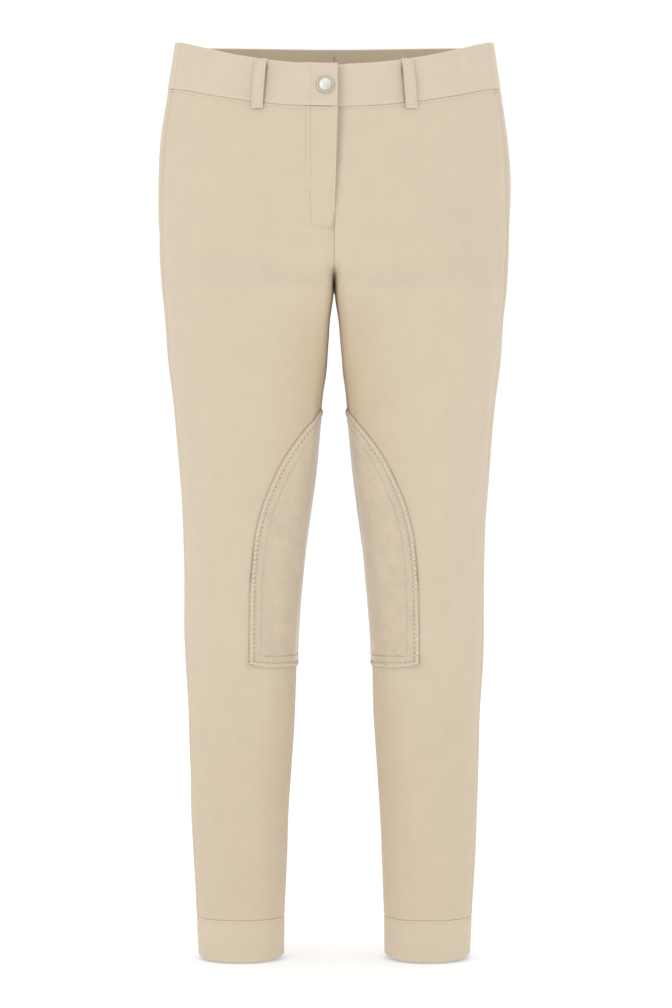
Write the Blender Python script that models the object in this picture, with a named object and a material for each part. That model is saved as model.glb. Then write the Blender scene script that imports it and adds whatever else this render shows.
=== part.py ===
"""Ladies' riding jodhpurs with knee patches, filled out as if worn.

The cloth is one smooth surface, worked out from a short table of level sections, and every
piece is a thin wall cut from that surface or lying a little way outside it.

Axes: +Z up, the front faces -Y, the wearer's left is +X. The origin is the middle of the waist.
All sizes here are millimetres; the meshes are made in metres.
"""

import math

import bmesh
import bpy
import numpy as np

METRES = 0.001

# ---------------------------------------------------------------- cloth
PANEL_WALL = 1.3          # stretch twill, one layer
BAND_WALL = 2.4           # the waistband is folded double
CUFF_WALL = 2.2
PATCH_WALL = 1.1
LOOP_WALL = 1.5
SEAM_GAP = 0.3            # between neighbouring pieces
EDGE = SEAM_GAP / 2       # each piece stops this far short of its seam
RING_LENGTH = 200.0       # about how much cloth lies along one unit of ring, described below
EDGE_RING = EDGE / RING_LENGTH
RING_STEP = 0.004         # how far apart points are compared to find which way the surface faces
HEIGHT_STEP = 1.0
SHARP_EDGE = math.radians(50.0)

# ---------------------------------------------------------------- heights
BAND_TOP = {"front": -7.0, "side": 24.4, "back": 34.0}
BAND_SEAM = {"front": -49.5, "side": -20.8, "back": -10.0}
CROTCH = -224.0
FLY_END = -153.0
BACK_BEND = -104.0        # the centre back seam starts to curve under here
CUFF_SEAM = -845.2
HEM = -886.7
HEM_RISE = 3.2            # the hem is higher by this at the inseam and the side

# ---------------------------------------------------------------- level sections of one half
# side: widest point from the centre. inner: nearest point of the leg to the centre.
# front and back: how far the section reaches along Y.
SECTION_COLUMNS = ("height", "side", "inner", "front", "back")
SECTIONS = np.array((
    (-890.0, 135.5, 50.5, -41.0, 51.0),
    (-850.0, 137.3, 50.0, -41.5, 52.0),
    (-810.0, 139.5, 48.5, -43.0, 56.0),
    (-730.0, 143.5, 45.0, -48.0, 67.0),
    (-650.0, 145.7, 40.0, -52.0, 70.0),
    (-570.0, 149.4, 37.0, -60.0, 66.0),
    (-490.0, 150.0, 30.5, -66.0, 67.0),
    (-410.0, 154.0, 20.5, -75.0, 75.0),
    (-330.0, 161.0, 12.0, -86.0, 85.0),
    (-290.0, 166.0, 7.0, -92.0, 93.0),
    (-250.0, 169.2, 4.0, -97.5, 103.0),
    (-224.0, 172.3, 0.6, -101.5, 113.0),
    (-190.0, 174.7, 0.6, -106.0, 126.0),
    (-150.0, 176.5, 0.6, -108.0, 133.0),
    (-110.0, 176.5, 0.6, -107.0, 130.0),
    (-70.0, 173.5, 0.6, -103.0, 119.0),
    (-30.0, 167.5, 0.6, -96.0, 104.0),
    (0.0, 163.0, 0.6, -90.5, 94.0),
    (40.0, 156.5, 0.6, -85.0, 86.0),
))
TRUNK_POWER = 0.88        # 1 is an ellipse, less is squarer
LEG_POWER = 0.93
CENTRE_REACH = 0.22       # how far from the centre, of the way to the side seam, the rise rules
THIGH_TOP = -80.0         # from here down the one oval of the trunk turns into the two of the legs
THIGH_FULL = -262.0
VALLEY_BLEND = 0.9        # how softly the valley over the crotch runs into the thighs
SIDE_BLEND = (0.4, 0.8)   # body_reach changes over here; 0 is the middle of a leg and 1 its side
PANEL_SIDE_SEAM = math.radians(76.0)   # round the oval from its front; the widest point is at 90
BAND_SIDE_SEAM = math.radians(71.0)

# ---------------------------------------------------------------- fly
FLY_LAP = 2.7             # the right front passes the centre by this at the waist
UNDERLAP = 20.0           # the left front goes on under it by this
FLY_LIFT = PANEL_WALL + SEAM_GAP + 0.15
BAND_LIFT = BAND_WALL + SEAM_GAP + 0.15
BAND_PROUD = 0.5          # the band stands this far outside the panels
BAND_UNDERLAP = 24.0
FLY_SLOPE = (24.0, 34.0)  # the lift fades out between these distances from the centre
FLY_FADE = 13.0           # and over this height below the fly
CUFF_PROUD = 0.2

# ---------------------------------------------------------------- belt loops
LOOP_WIDTH = 11.0
LOOP_FRONT_TOP = 70.5     # distance from the centre at the band's top edge
LOOP_FRONT_FOOT = 74.3    # and at its foot, because the loop leans out
LOOP_BACK = 86.0
LOOP_DROP = 6.8           # below the band's seam
LOOP_TOP_DROP = 0.6
LOOP_CLEAR = 0.4          # between the band and the loop's ends
LOOP_STAND = 2.9          # the middle of the loop stands this much further out than its ends
LOOP_ROUNDNESS = 0.6      # 1 is a half wave, less is fuller near the ends

# ---------------------------------------------------------------- knee patches
# The top edge is an arch over the inseam. angle: how far round the leg from the inseam, in
# degrees, either way. height: where the edge is there.
PATCH_COLUMNS = ("angle", "height")
PATCH_ARCH = np.array((
    (0.0, -339.5),
    (15.0, -345.0),
    (28.0, -354.0),
    (41.0, -366.0),
    (52.0, -380.0),
    (62.0, -398.0),
    (70.0, -419.0),
    (77.0, -445.0),
    (81.0, -475.0),
    (83.0, -510.0),
))
PATCH_FOOT = -595.0
PATCH_FOOT_SHARE = 0.975  # how wide it is at the foot, as a share of its width at the knee
PATCH_CLEAR = 0.35        # clearance over the panels

# ---------------------------------------------------------------- press stud
STUD_FROM_CENTRE = 8.4
STUD_HEIGHT = -29.0
STUD_CLEAR = 0.4          # between the band and the stud
STUD_SEGMENTS = 24
# Turned profiles, round each piece's section. radius: from the stud's middle. height: off the band.
STUD_RIM_PROFILE = (
    (6.4, 0.0),
    (8.9, 0.0),
    (8.9, 0.68),
    (8.2, 1.42),
    (7.2, 1.5),
    (6.4, 1.05),
)
STUD_CAP_PROFILE = (
    (0.0, 0.0),
    (6.05, 0.0),
    (6.05, 1.27),
    (5.25, 1.84),
    (3.33, 2.19),
    (0.0, 2.3),
)

# ---------------------------------------------------------------- mesh density
STRAIGHT_ROWS = 8         # from the band down to where the rise starts to curve
BEND_ROWS = 8             # round the curve of the rise
LEG_ROWS = 22
FLY_COLUMNS = 4
PANEL_COLUMNS = 12
BAND_ROWS = 2
BAND_FRONT_COLUMNS = 12
BAND_BACK_COLUMNS = 24
CUFF_ROWS = 2
CUFF_COLUMNS = 30
PATCH_ROWS = 10
PATCH_ANGLE_STEP = 9.0
LOOP_ROWS = 10
LOOP_COLUMNS = 2

# ---------------------------------------------------------------- colours, linear
COLOURS = {
    # name: (colour, roughness, metallic)
    "twill": ((0.68, 0.575, 0.435, 1.0), 0.88, 0.0),
    "twill_band": ((0.69, 0.585, 0.45, 1.0), 0.88, 0.0),
    "suedette": ((0.60, 0.495, 0.37, 1.0), 0.95, 0.0),
    "stud_metal": ((0.62, 0.58, 0.50, 1.0), 0.32, 1.0),
    "stud_pearl": ((0.80, 0.76, 0.67, 1.0), 0.25, 0.35),
}


# ================================================================ helpers

def smooth_step(share):
    share = np.clip(share, 0.0, 1.0)
    return share * share * (3.0 - 2.0 * share)


def mix(first, second, share):
    return first + (second - first) * share


def smooth_table(table, column, at):
    """The value of a table's column at some heights, on a smooth curve through its rows."""
    heights = table[:, 0]
    values = table[:, column]
    slopes = np.gradient(values, heights)
    at = np.clip(np.asarray(at, float), heights[0], heights[-1])
    low = np.clip(np.searchsorted(heights, at) - 1, 0, len(heights) - 2)
    step = heights[low + 1] - heights[low]
    share = (at - heights[low]) / step
    back = 1.0 - share
    return (
        (1.0 + 2.0 * share) * back ** 2 * values[low]
        + share * back ** 2 * step * slopes[low]
        + share ** 2 * (3.0 - 2.0 * share) * values[low + 1]
        - share ** 2 * back * step * slopes[low + 1]
    )


def section(name, height):
    return smooth_table(SECTIONS, SECTION_COLUMNS.index(name), height)


# ================================================================ the surface

def oval_reach(place, power):
    """How far out an oval is, of its half depth, where it is place of its half width from its middle."""
    sine = np.minimum(np.abs(place), 1.0) ** (1.0 / power)
    return np.sqrt(1.0 - sine ** 2) ** power


def angle_reach(angle, power):
    """The same by the angle round the oval: 1 at its front, 0 degrees, and -1 at its back, 180."""
    return np.sign(np.cos(angle)) * np.abs(np.cos(angle)) ** power


def depth(reach, height):
    """Y of a section: reach is 1 at its front, 0 in its middle and -1 at its back."""
    near = section("front", height)
    far = section("back", height)
    return mix((near + far) / 2, near, reach)


def trunk_x(angle, height):
    """Round the trunk, 0 is its front, 90 degrees its side and 180 its back."""
    return section("side", height) * np.sin(angle) ** TRUNK_POWER


def leg_x(angle, height):
    """Round the leg, -90 degrees is its inseam, 0 its front, 90 its side and 180 its back."""
    place = np.sign(np.sin(angle)) * np.abs(np.sin(angle)) ** LEG_POWER
    return mix(section("inner", height), section("side", height), (place + 1.0) / 2)


def leg_point(angle, height):
    y = depth(angle_reach(angle, LEG_POWER), height)
    return np.stack(np.broadcast_arrays(leg_x(angle, height), y, height), axis=-1)


def down_rise(height, bend_top):
    """0 at the top of the round bend of the rise, 1 at the crotch and below."""
    above = np.clip((height - CROTCH) / (bend_top - CROTCH), 0.0, 1.0)
    return 1.0 - np.sqrt(1.0 - (1.0 - above) ** 2)


def down_thigh(height):
    """0 where the section is one oval, 1 where it is two legs."""
    return smooth_step((THIGH_TOP - height) / (THIGH_TOP - THIGH_FULL))


def leg_share(ring, height):
    """How far a place round the trunk has moved to its place round the leg.

    At the centre it follows the round bend of the rise; away from it the change is gentler.
    """
    from_end = np.minimum(ring, 2.0 - ring)
    bend_top = mix(FLY_END, BACK_BEND, smooth_step(ring / 2))
    spread = smooth_step(from_end / CENTRE_REACH)
    return mix(down_rise(height, bend_top), down_thigh(height), spread)


def smooth_max(first, second, blend):
    """The larger of two values, rounded off where they are within blend of each other."""
    overlap = np.maximum(blend - np.abs(first - second), 0.0)
    return np.maximum(first, second) + overlap ** 2 / (4.0 * np.maximum(blend, 1e-9))


def body_reach(x, height, half, bend_top, round_reach):
    """The reach, for depth(), of a place at x in one half; half is 1 for its front and -1 for its back.

    The thighs come down from the trunk's oval. Between them a valley follows the rise, from
    nothing at the top of its bend to the gap between two legs at the crotch. Near the side seam
    it is round_reach, the reach that the place has by its angles.
    """
    side = section("side", height)
    middle = (side + section("inner", height)) / 2
    place = np.clip((x - middle) / (side - middle), -1.0, 1.0)
    trunk = oval_reach(x / side, TRUNK_POWER)
    leg = oval_reach(place, LEG_POWER)
    thigh = down_thigh(height)
    rise = down_rise(height, bend_top)
    valley = trunk * (1.0 - rise)
    blend = VALLEY_BLEND * rise * (1.0 - rise)
    inner_half = smooth_max(valley, leg * mix(trunk, 1.0, thigh), blend)
    outer_half = mix(trunk, leg, thigh)
    near_side = smooth_step((place - SIDE_BLEND[0]) / (SIDE_BLEND[1] - SIDE_BLEND[0]))
    return mix(np.where(place > 0.0, outer_half, inner_half) * half, round_reach, near_side)


def folded(ring):
    """The same place on the wearer's left half, for a ring past either end."""
    return np.where(ring < 0.0, -ring, np.where(ring > 2.0, 4.0 - ring, ring))


def body_point(ring, height, side_seam=PANEL_SIDE_SEAM):
    """A point of the wearer's left half of the surface.

    ring is 0 at the centre front or the inseam, 1 at the side seam and 2 at the centre back or
    the inseam. Past either end, the point is on the other half.
    """
    ring, height = np.broadcast_arrays(np.asarray(ring, float), np.asarray(height, float))
    crossed = (ring < 0.0) | (ring > 2.0)
    ring = folded(ring)
    front = ring <= 1.0
    inseam = -math.pi / 2
    trunk_angle = np.where(
        front,
        ring * side_seam,
        side_seam + (ring - 1.0) * (math.pi - side_seam))
    leg_angle = np.where(
        front,
        inseam + ring * (side_seam - inseam),
        side_seam + (ring - 1.0) * (1.5 * math.pi - side_seam))
    share = leg_share(ring, height)
    x = mix(trunk_x(trunk_angle, height), leg_x(leg_angle, height), share)
    round_reach = mix(angle_reach(trunk_angle, TRUNK_POWER), angle_reach(leg_angle, LEG_POWER), share)
    half = np.where(front, 1.0, -1.0)
    reach = body_reach(x, height, half, np.where(front, FLY_END, BACK_BEND), round_reach)
    return np.stack([np.where(crossed, -x, x), depth(reach, height), height], axis=-1)


def outward(ring, height, point_at):
    """The unit normal of a surface given by point_at(ring, height)."""
    along = point_at(ring + RING_STEP, height) - point_at(ring - RING_STEP, height)
    up = point_at(ring, height + HEIGHT_STEP) - point_at(ring, height - HEIGHT_STEP)
    normal = np.cross(along, up)
    return normal / np.linalg.norm(normal, axis=-1, keepdims=True)


def body_outward(ring, height):
    """As outward, but it never looks across the centre seam, where the two halves meet in a fold."""
    inside = np.clip(folded(ring), RING_STEP, 2.0 - RING_STEP)
    normal = outward(inside, height, body_point)
    crossed = (ring < 0.0) | (ring > 2.0)
    normal[..., 0] = np.where(crossed, -normal[..., 0], normal[..., 0])
    return normal


def ring_at(distance, height, side_seam=PANEL_SIDE_SEAM, back=False):
    """Where round the trunk a point is, from its sideways distance to the centre."""
    share = np.clip(np.abs(distance) / section("side", height), 0.0, 1.0)
    angle = np.arcsin(share ** (1.0 / TRUNK_POWER))
    if back:
        return 2.0 - np.sign(distance) * angle / (math.pi - side_seam)
    return np.sign(distance) * angle / side_seam


def band_point(ring, height):
    return body_point(ring, height, BAND_SIDE_SEAM)


def band_edge(edge, ring, side_seam):
    """The height of the band's top edge or seam: level round the back, dipping at the front."""
    ring = folded(ring)
    angle = np.where(
        ring <= 1.0,
        ring * side_seam,
        side_seam + (ring - 1.0) * (math.pi - side_seam))
    across = np.abs(np.sin(angle)) ** (2 * TRUNK_POWER)
    end = np.where(angle < math.pi / 2, edge["front"], edge["back"])
    return mix(end, edge["side"], across)


# ================================================================ meshes

def new_object(name, build, finish):
    mesh = bpy.data.meshes.new(name)
    bmesh.ops.recalc_face_normals(build, faces=build.faces)
    build.to_mesh(mesh)
    build.free()
    mesh.shade_smooth()
    mesh.set_sharp_from_angle(angle=SHARP_EDGE)
    mesh.materials.append(finish)
    piece = bpy.data.objects.new(name, mesh)
    bpy.context.collection.objects.link(piece)
    return piece


def strip(build, first, second, closed):
    """Faces between two rows of vertices; closed joins their ends too."""
    count = len(first)
    for place in range(count if closed else count - 1):
        after = (place + 1) % count
        corners = (first[place], first[after], second[after], second[place])
        build.faces.new(list(dict.fromkeys(corners)))


def wall(name, outer, inner, finish, closed=False):
    """A wall between two grids of points, [row][column]; closed joins its last column to its first."""
    build = bmesh.new()
    skins = []
    for grid in (outer, inner):
        skins.append([[build.verts.new(point * METRES) for point in row] for row in grid])
    for skin in skins:
        for upper, lower in zip(skin, skin[1:]):
            strip(build, upper, lower, closed)
    outside, inside = skins
    for row in (0, -1):
        strip(build, outside[row], inside[row], closed)
    if not closed:
        for column in (0, -1):
            outside_edge = [row[column] for row in outside]
            inside_edge = [row[column] for row in inside]
            strip(build, outside_edge, inside_edge, False)
    return new_object(name, build, finish)


def mirrored(grid, side):
    """The wearer's left half as it is, or the right half as its mirror image."""
    return grid * np.array((side, 1.0, 1.0))


def material(name):
    colour, roughness, metallic = COLOURS[name]
    made = bpy.data.materials.new(name)
    made.use_nodes = True
    shader = made.node_tree.nodes["Principled BSDF"]
    shader.inputs["Base Color"].default_value = colour
    shader.inputs["Roughness"].default_value = roughness
    shader.inputs["Metallic"].default_value = metallic
    made.diffuse_color = colour
    return made


# ================================================================ leg panels

def upper_rows(seam_end, bend_top):
    """How far down the rise each row meets it, as shares from the band's seam to the crotch.

    The rows are even down the straight part, then even round the bend.
    """
    straight = np.linspace(seam_end, bend_top, STRAIGHT_ROWS + 1)
    turn = np.linspace(0.0, math.pi / 2, BEND_ROWS + 1)[1:]
    bend = CROTCH + (bend_top - CROTCH) * (1.0 - np.sin(turn))
    return (seam_end - np.concatenate([straight, bend])) / (seam_end - CROTCH)


def panel_heights(ring, seam_end, bend_top):
    """Heights of a panel's points, [row][column], for the ring places of each row."""
    at_rise = upper_rows(seam_end, bend_top)
    even = np.linspace(0.0, 1.0, len(at_rise))
    above_crotch = ring[:len(at_rise)]
    from_end = np.minimum(np.abs(above_crotch), 2.0 - above_crotch)
    share = mix(at_rise[:, None], even[:, None], smooth_step(from_end))
    top = band_edge(BAND_SEAM, above_crotch, PANEL_SIDE_SEAM) - EDGE
    upper = mix(top, CROTCH, share)
    lower = np.linspace(CROTCH, CUFF_SEAM + EDGE, LEG_ROWS + 1)[1:]
    lower = np.repeat(lower[:, None], ring.shape[1], axis=1)
    return np.concatenate([upper, lower])


def clear_of_centre(grid, crosses):
    """Holds the points of a half half a seam gap away from the centre, but for those meant to cross."""
    grid[..., 0] = np.where(crosses, grid[..., 0], np.maximum(grid[..., 0], EDGE))
    return grid


def front_edge(height, laps_over):
    """How far past the centre a front panel's fly edge is; below the fly it stops at the seam."""
    if laps_over:
        reach = FLY_LAP * (height - FLY_END) / (BAND_SEAM["front"] - FLY_END)
        return np.clip(reach, 0.0, FLY_LAP)
    return UNDERLAP * np.clip((height - FLY_END) / FLY_FADE, 0.0, 1.0)


def fly_lift(distance, height):
    """How far the right front is held out over the left one's underlap."""
    across = smooth_step((FLY_SLOPE[1] - distance) / (FLY_SLOPE[1] - FLY_SLOPE[0]))
    down = np.clip((height - FLY_END + FLY_FADE) / FLY_FADE, 0.0, 1.0)
    return FLY_LIFT * across * down


def front_panel(name, side, laps_over, cloth):
    """A front leg panel; laps_over is the right one, whose fly edge lies over the left."""
    at_rise = upper_rows(BAND_SEAM["front"], FLY_END)
    rise_heights = mix(BAND_SEAM["front"], CROTCH, at_rise)
    centre_heights = np.concatenate([rise_heights, np.full(LEG_ROWS, CROTCH)])
    past_centre = front_edge(centre_heights, laps_over) - EDGE
    edge_ring = -ring_at(past_centre, centre_heights)
    edge_ring = np.where(centre_heights <= CROTCH, EDGE_RING, edge_ring)
    slope_ring = ring_at(FLY_SLOPE[1], FLY_END)
    fly = mix(edge_ring[:, None], slope_ring, np.linspace(0.0, 1.0, FLY_COLUMNS + 1)[None, :])
    rest = np.linspace(slope_ring, 1.0 - EDGE_RING, PANEL_COLUMNS - FLY_COLUMNS + 1)[1:]
    ring = np.concatenate([fly, np.repeat(rest[None, :], len(fly), axis=0)], axis=1)
    height = panel_heights(ring, BAND_SEAM["front"], FLY_END)
    surface = body_point(ring, height)
    normal = body_outward(ring, height)
    lift = fly_lift(surface[..., 0], height) if laps_over else np.zeros(ring.shape)
    crosses = ring < 0.0
    outer = clear_of_centre(surface + normal * lift[..., None], crosses)
    inner = clear_of_centre(surface + normal * (lift - PANEL_WALL)[..., None], crosses)
    return wall(name, mirrored(outer, side), mirrored(inner, side), cloth)


def back_panel(name, side, cloth):
    columns = np.linspace(1.0 + EDGE_RING, 2.0 - EDGE_RING, PANEL_COLUMNS + 1)
    ring = np.repeat(columns[None, :], STRAIGHT_ROWS + BEND_ROWS + LEG_ROWS + 1, axis=0)
    height = panel_heights(ring, BAND_SEAM["back"], BACK_BEND)
    surface = body_point(ring, height)
    normal = body_outward(ring, height)
    outer = clear_of_centre(surface.copy(), False)
    inner = clear_of_centre(surface - normal * PANEL_WALL, False)
    return wall(name, mirrored(outer, side), mirrored(inner, side), cloth)


# ================================================================ waistband

def band_piece(name, side, ring, lift, cloth):
    """A stretch of the band between its seam and its top edge; lift holds each column further out."""
    seam = band_edge(BAND_SEAM, ring, BAND_SIDE_SEAM) + EDGE
    top = band_edge(BAND_TOP, ring, BAND_SIDE_SEAM)
    share = np.linspace(0.0, 1.0, BAND_ROWS + 1)[:, None]
    height = mix(seam[None, :], top[None, :], share)
    ring = np.repeat(ring[None, :], BAND_ROWS + 1, axis=0)
    surface = band_point(ring, height)
    normal = outward(ring, height, band_point)
    proud = BAND_PROUD + lift[None, :, None]
    outer = surface + normal * proud
    inner = surface + normal * (proud - BAND_WALL)
    return wall(name, mirrored(outer, side), mirrored(inner, side), cloth)


def waistband(cloth):
    """Two fronts, the right one's end over the left one's, and a back between the side seams."""
    level = BAND_SEAM["front"]
    slope_ring = ring_at(FLY_SLOPE[1], level, BAND_SIDE_SEAM)
    for name, side, past_centre, lifted in (
        ("waistband_front_right", -1.0, FLY_LAP, True),
        ("waistband_front_left", 1.0, BAND_UNDERLAP, False),
    ):
        edge_ring = -ring_at(past_centre, level, BAND_SIDE_SEAM)
        fly = np.linspace(edge_ring, slope_ring, FLY_COLUMNS + 1)
        rest = np.linspace(slope_ring, 1.0 - EDGE_RING, BAND_FRONT_COLUMNS - FLY_COLUMNS + 1)[1:]
        ring = np.concatenate([fly, rest])
        distance = band_point(ring, level)[:, 0]
        across = smooth_step((FLY_SLOPE[1] - distance) / (FLY_SLOPE[1] - FLY_SLOPE[0]))
        band_piece(name, side, ring, BAND_LIFT * across * float(lifted), cloth)
    ring = np.linspace(1.0 + EDGE_RING, 3.0 - EDGE_RING, BAND_BACK_COLUMNS + 1)
    band_piece("waistband_back", 1.0, ring, np.zeros(len(ring)), cloth)


# ================================================================ belt loops

def belt_loop(name, side, top_distance, foot_distance, back, cloth):
    """A strap from the band's top edge to just below its seam, standing out in the middle."""
    middle = ring_at(top_distance, 0.0, BAND_SIDE_SEAM, back)
    top = band_edge(BAND_TOP, middle, BAND_SIDE_SEAM) - LOOP_TOP_DROP
    foot = band_edge(BAND_SEAM, middle, BAND_SIDE_SEAM) - LOOP_DROP
    share = np.linspace(0.0, 1.0, LOOP_ROWS + 1)[:, None]
    across = np.linspace(-LOOP_WIDTH / 2, LOOP_WIDTH / 2, LOOP_COLUMNS + 1)[None, :]
    height = np.repeat(mix(top, foot, share), LOOP_COLUMNS + 1, axis=1)
    distance = mix(top_distance, foot_distance, share) + across
    ring = ring_at(distance, height, BAND_SIDE_SEAM, back)
    surface = band_point(ring, height)
    normal = outward(ring, height, band_point)
    stand = BAND_PROUD + LOOP_CLEAR + LOOP_STAND * np.sin(math.pi * share) ** LOOP_ROUNDNESS
    inner = surface + normal * stand[..., None]
    outer = surface + normal * (stand + LOOP_WALL)[..., None]
    return wall(name, mirrored(outer, side), mirrored(inner, side), cloth)


# ================================================================ knee patches and cuffs

def knee_patch(name, side, cloth):
    """One piece laid over the inseam: an arch at the top, nearly straight sides, a level foot."""
    arch_angle, arch_height = PATCH_ARCH[:, 0], PATCH_ARCH[:, 1]
    even = np.arange(0.0, arch_angle[-3], PATCH_ANGLE_STEP)
    half = np.concatenate([even, arch_angle[-3:]])
    across = np.concatenate([-half[:0:-1], half])
    top = smooth_table(PATCH_ARCH, PATCH_COLUMNS.index("height"), np.abs(across))
    share = np.linspace(0.0, 1.0, PATCH_ROWS + 1)[:, None]
    height = mix(top[None, :], PATCH_FOOT, share)
    below_arch = (arch_height[0] - height) / (arch_height[0] - PATCH_FOOT)
    narrowing = mix(1.0, PATCH_FOOT_SHARE, smooth_step(2.0 * below_arch - 1.0))
    angle = -math.pi / 2 + np.radians(across)[None, :] * narrowing
    surface = leg_point(angle, height)
    normal = outward(angle, height, leg_point)
    inner = surface + normal * PATCH_CLEAR
    outer = surface + normal * (PATCH_CLEAR + PATCH_WALL)
    return wall(name, mirrored(outer, side), mirrored(inner, side), cloth)


def ankle_cuff(name, side, cloth):
    """The turned-up end of a leg, open at both ends."""
    angle = np.linspace(0.0, 2 * math.pi, CUFF_COLUMNS + 1)[:-1]
    foot = HEM + HEM_RISE * np.sin(angle) ** 2
    share = np.linspace(0.0, 1.0, CUFF_ROWS + 1)[:, None]
    height = mix(CUFF_SEAM - EDGE, foot[None, :], share)
    angle = np.repeat(angle[None, :], CUFF_ROWS + 1, axis=0)
    surface = leg_point(angle, height)
    normal = outward(angle, height, leg_point)
    outer = surface + normal * CUFF_PROUD
    inner = surface + normal * (CUFF_PROUD - CUFF_WALL)
    return wall(name, mirrored(outer, side), mirrored(inner, side), cloth, closed=True)


# ================================================================ press stud

def turned(name, profile, finish):
    """A turned piece; its profile is closed through the axis or, clear of the axis, on itself."""
    build = bmesh.new()
    turns = np.linspace(0.0, 2 * math.pi, STUD_SEGMENTS + 1)[:-1]
    rings = []
    for radius, height in profile:
        if radius == 0.0:
            rings.append([build.verts.new((0.0, 0.0, height * METRES))] * STUD_SEGMENTS)
            continue
        points = [(radius * math.cos(turn), radius * math.sin(turn), height) for turn in turns]
        rings.append([build.verts.new(np.array(point) * METRES) for point in points])
    if profile[0][0] > 0.0:
        rings.append(rings[0])
    for first, second in zip(rings, rings[1:]):
        strip(build, first, second, True)
    return new_object(name, build, finish)


def press_stud(metal, pearl):
    """The stud's face on the right end of the band: a metal rim round a domed cap."""
    ring = ring_at(STUD_FROM_CENTRE, STUD_HEIGHT, BAND_SIDE_SEAM)
    surface = mirrored(band_point(ring, STUD_HEIGHT), -1.0)
    normal = mirrored(outward(ring, STUD_HEIGHT, band_point), -1.0)
    place = (surface + normal * (BAND_PROUD + BAND_LIFT + STUD_CLEAR)) * METRES
    turn = math.atan2(normal[0], -normal[1])
    tip = math.atan2(-normal[2], math.hypot(normal[0], normal[1]))
    for name, profile, finish in (
        ("press_stud_rim", STUD_RIM_PROFILE, metal),
        ("press_stud_cap", STUD_CAP_PROFILE, pearl),
    ):
        piece = turned(name, profile, finish)
        piece.location = place
        piece.rotation_euler = (math.pi / 2 + tip, 0.0, turn)


# ================================================================ the whole garment

def main():
    for old in list(bpy.data.objects):
        bpy.data.objects.remove(old, do_unlink=True)
    twill = material("twill")
    band_cloth = material("twill_band")
    suedette = material("suedette")
    front_panel("front_right", -1.0, True, twill)
    front_panel("front_left", 1.0, False, twill)
    back_panel("back_right", -1.0, twill)
    back_panel("back_left", 1.0, twill)
    waistband(band_cloth)
    for label, side in (("right", -1.0), ("left", 1.0)):
        belt_loop(f"belt_loop_front_{label}", side, LOOP_FRONT_TOP, LOOP_FRONT_FOOT, False, band_cloth)
        belt_loop(f"belt_loop_back_{label}", side, LOOP_BACK, LOOP_BACK, True, band_cloth)
        knee_patch(f"knee_patch_{label}", side, suedette)
        ankle_cuff(f"ankle_cuff_{label}", side, twill)
    belt_loop("belt_loop_centre_back", 1.0, 0.0, 0.0, True, band_cloth)
    press_stud(material("stud_metal"), material("stud_pearl"))


main()
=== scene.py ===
import math

import bmesh
import bpy
import numpy as np
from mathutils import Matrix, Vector


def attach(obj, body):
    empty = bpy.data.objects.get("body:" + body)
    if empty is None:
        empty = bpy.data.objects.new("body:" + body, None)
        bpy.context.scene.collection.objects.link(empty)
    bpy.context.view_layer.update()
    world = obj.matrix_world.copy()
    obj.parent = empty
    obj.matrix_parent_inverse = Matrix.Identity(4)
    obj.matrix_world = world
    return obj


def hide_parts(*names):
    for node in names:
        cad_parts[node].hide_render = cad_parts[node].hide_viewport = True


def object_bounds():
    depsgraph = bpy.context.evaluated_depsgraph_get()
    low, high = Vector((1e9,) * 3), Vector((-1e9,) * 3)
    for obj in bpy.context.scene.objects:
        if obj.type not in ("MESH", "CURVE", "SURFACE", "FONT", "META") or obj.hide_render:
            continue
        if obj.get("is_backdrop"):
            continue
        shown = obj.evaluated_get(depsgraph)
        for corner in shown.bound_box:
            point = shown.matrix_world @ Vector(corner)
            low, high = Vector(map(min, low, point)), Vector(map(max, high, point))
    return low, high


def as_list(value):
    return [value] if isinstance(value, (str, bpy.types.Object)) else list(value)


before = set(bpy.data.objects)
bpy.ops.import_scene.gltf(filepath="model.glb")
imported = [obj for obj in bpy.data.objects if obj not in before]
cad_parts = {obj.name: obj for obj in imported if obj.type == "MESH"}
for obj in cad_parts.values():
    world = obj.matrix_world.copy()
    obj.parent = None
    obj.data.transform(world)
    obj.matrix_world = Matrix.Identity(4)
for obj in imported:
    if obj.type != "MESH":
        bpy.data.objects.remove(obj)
cad_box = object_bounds()

# The looks of the riding jodhpurs: fine cloth with its folds and seams, the stitching, the press
# stud, and a plain studio. Everything is worked out in millimetres in the part's own frame, with
# +Z up, the front facing -Y and the wearer's left at +X, and made in metres.

METRES = 0.001
TINY = 1e-9
rng = np.random.default_rng(11)
LEFT = 1.0
RIGHT = -1.0
SIDES = (("right", RIGHT), ("left", LEFT))

# ======== sizes shared with the part
# As in the part, but where a comment says otherwise.

PANEL_WALL = 1.3
BAND_WALL = 2.4
CUFF_WALL = 2.2
PATCH_WALL = 1.1
LOOP_WALL = 1.5
SEAM_GAP = 0.3
EDGE = 0.02  # closer than in the part: the pieces all but meet at their seams
RING_LENGTH = 200.0
EDGE_RING = EDGE / RING_LENGTH
RING_STEP = 0.004
HEIGHT_STEP = 1.0

# The top edge is 1.2 mm higher at the side and 0.4 lower at the back than the part's. back_power
# is how fast an edge falls from the back to the side: 1 as in the part, more stays level longer.
BAND_TOP = {"front": -7.0, "side": 25.6, "back": 33.6, "back_power": 2.2}
BAND_SEAM = {"front": -49.5, "side": -20.8, "back": -10.0, "back_power": 1.0}
CROTCH = -224.0
FLY_END = -153.0
BACK_BEND = -104.0
BEND_LENGTH = 1.25  # of the rise's round bend, by its height
CUFF_SEAM = -845.2
HEM = -886.7
HEM_RISE = 3.2

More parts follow.
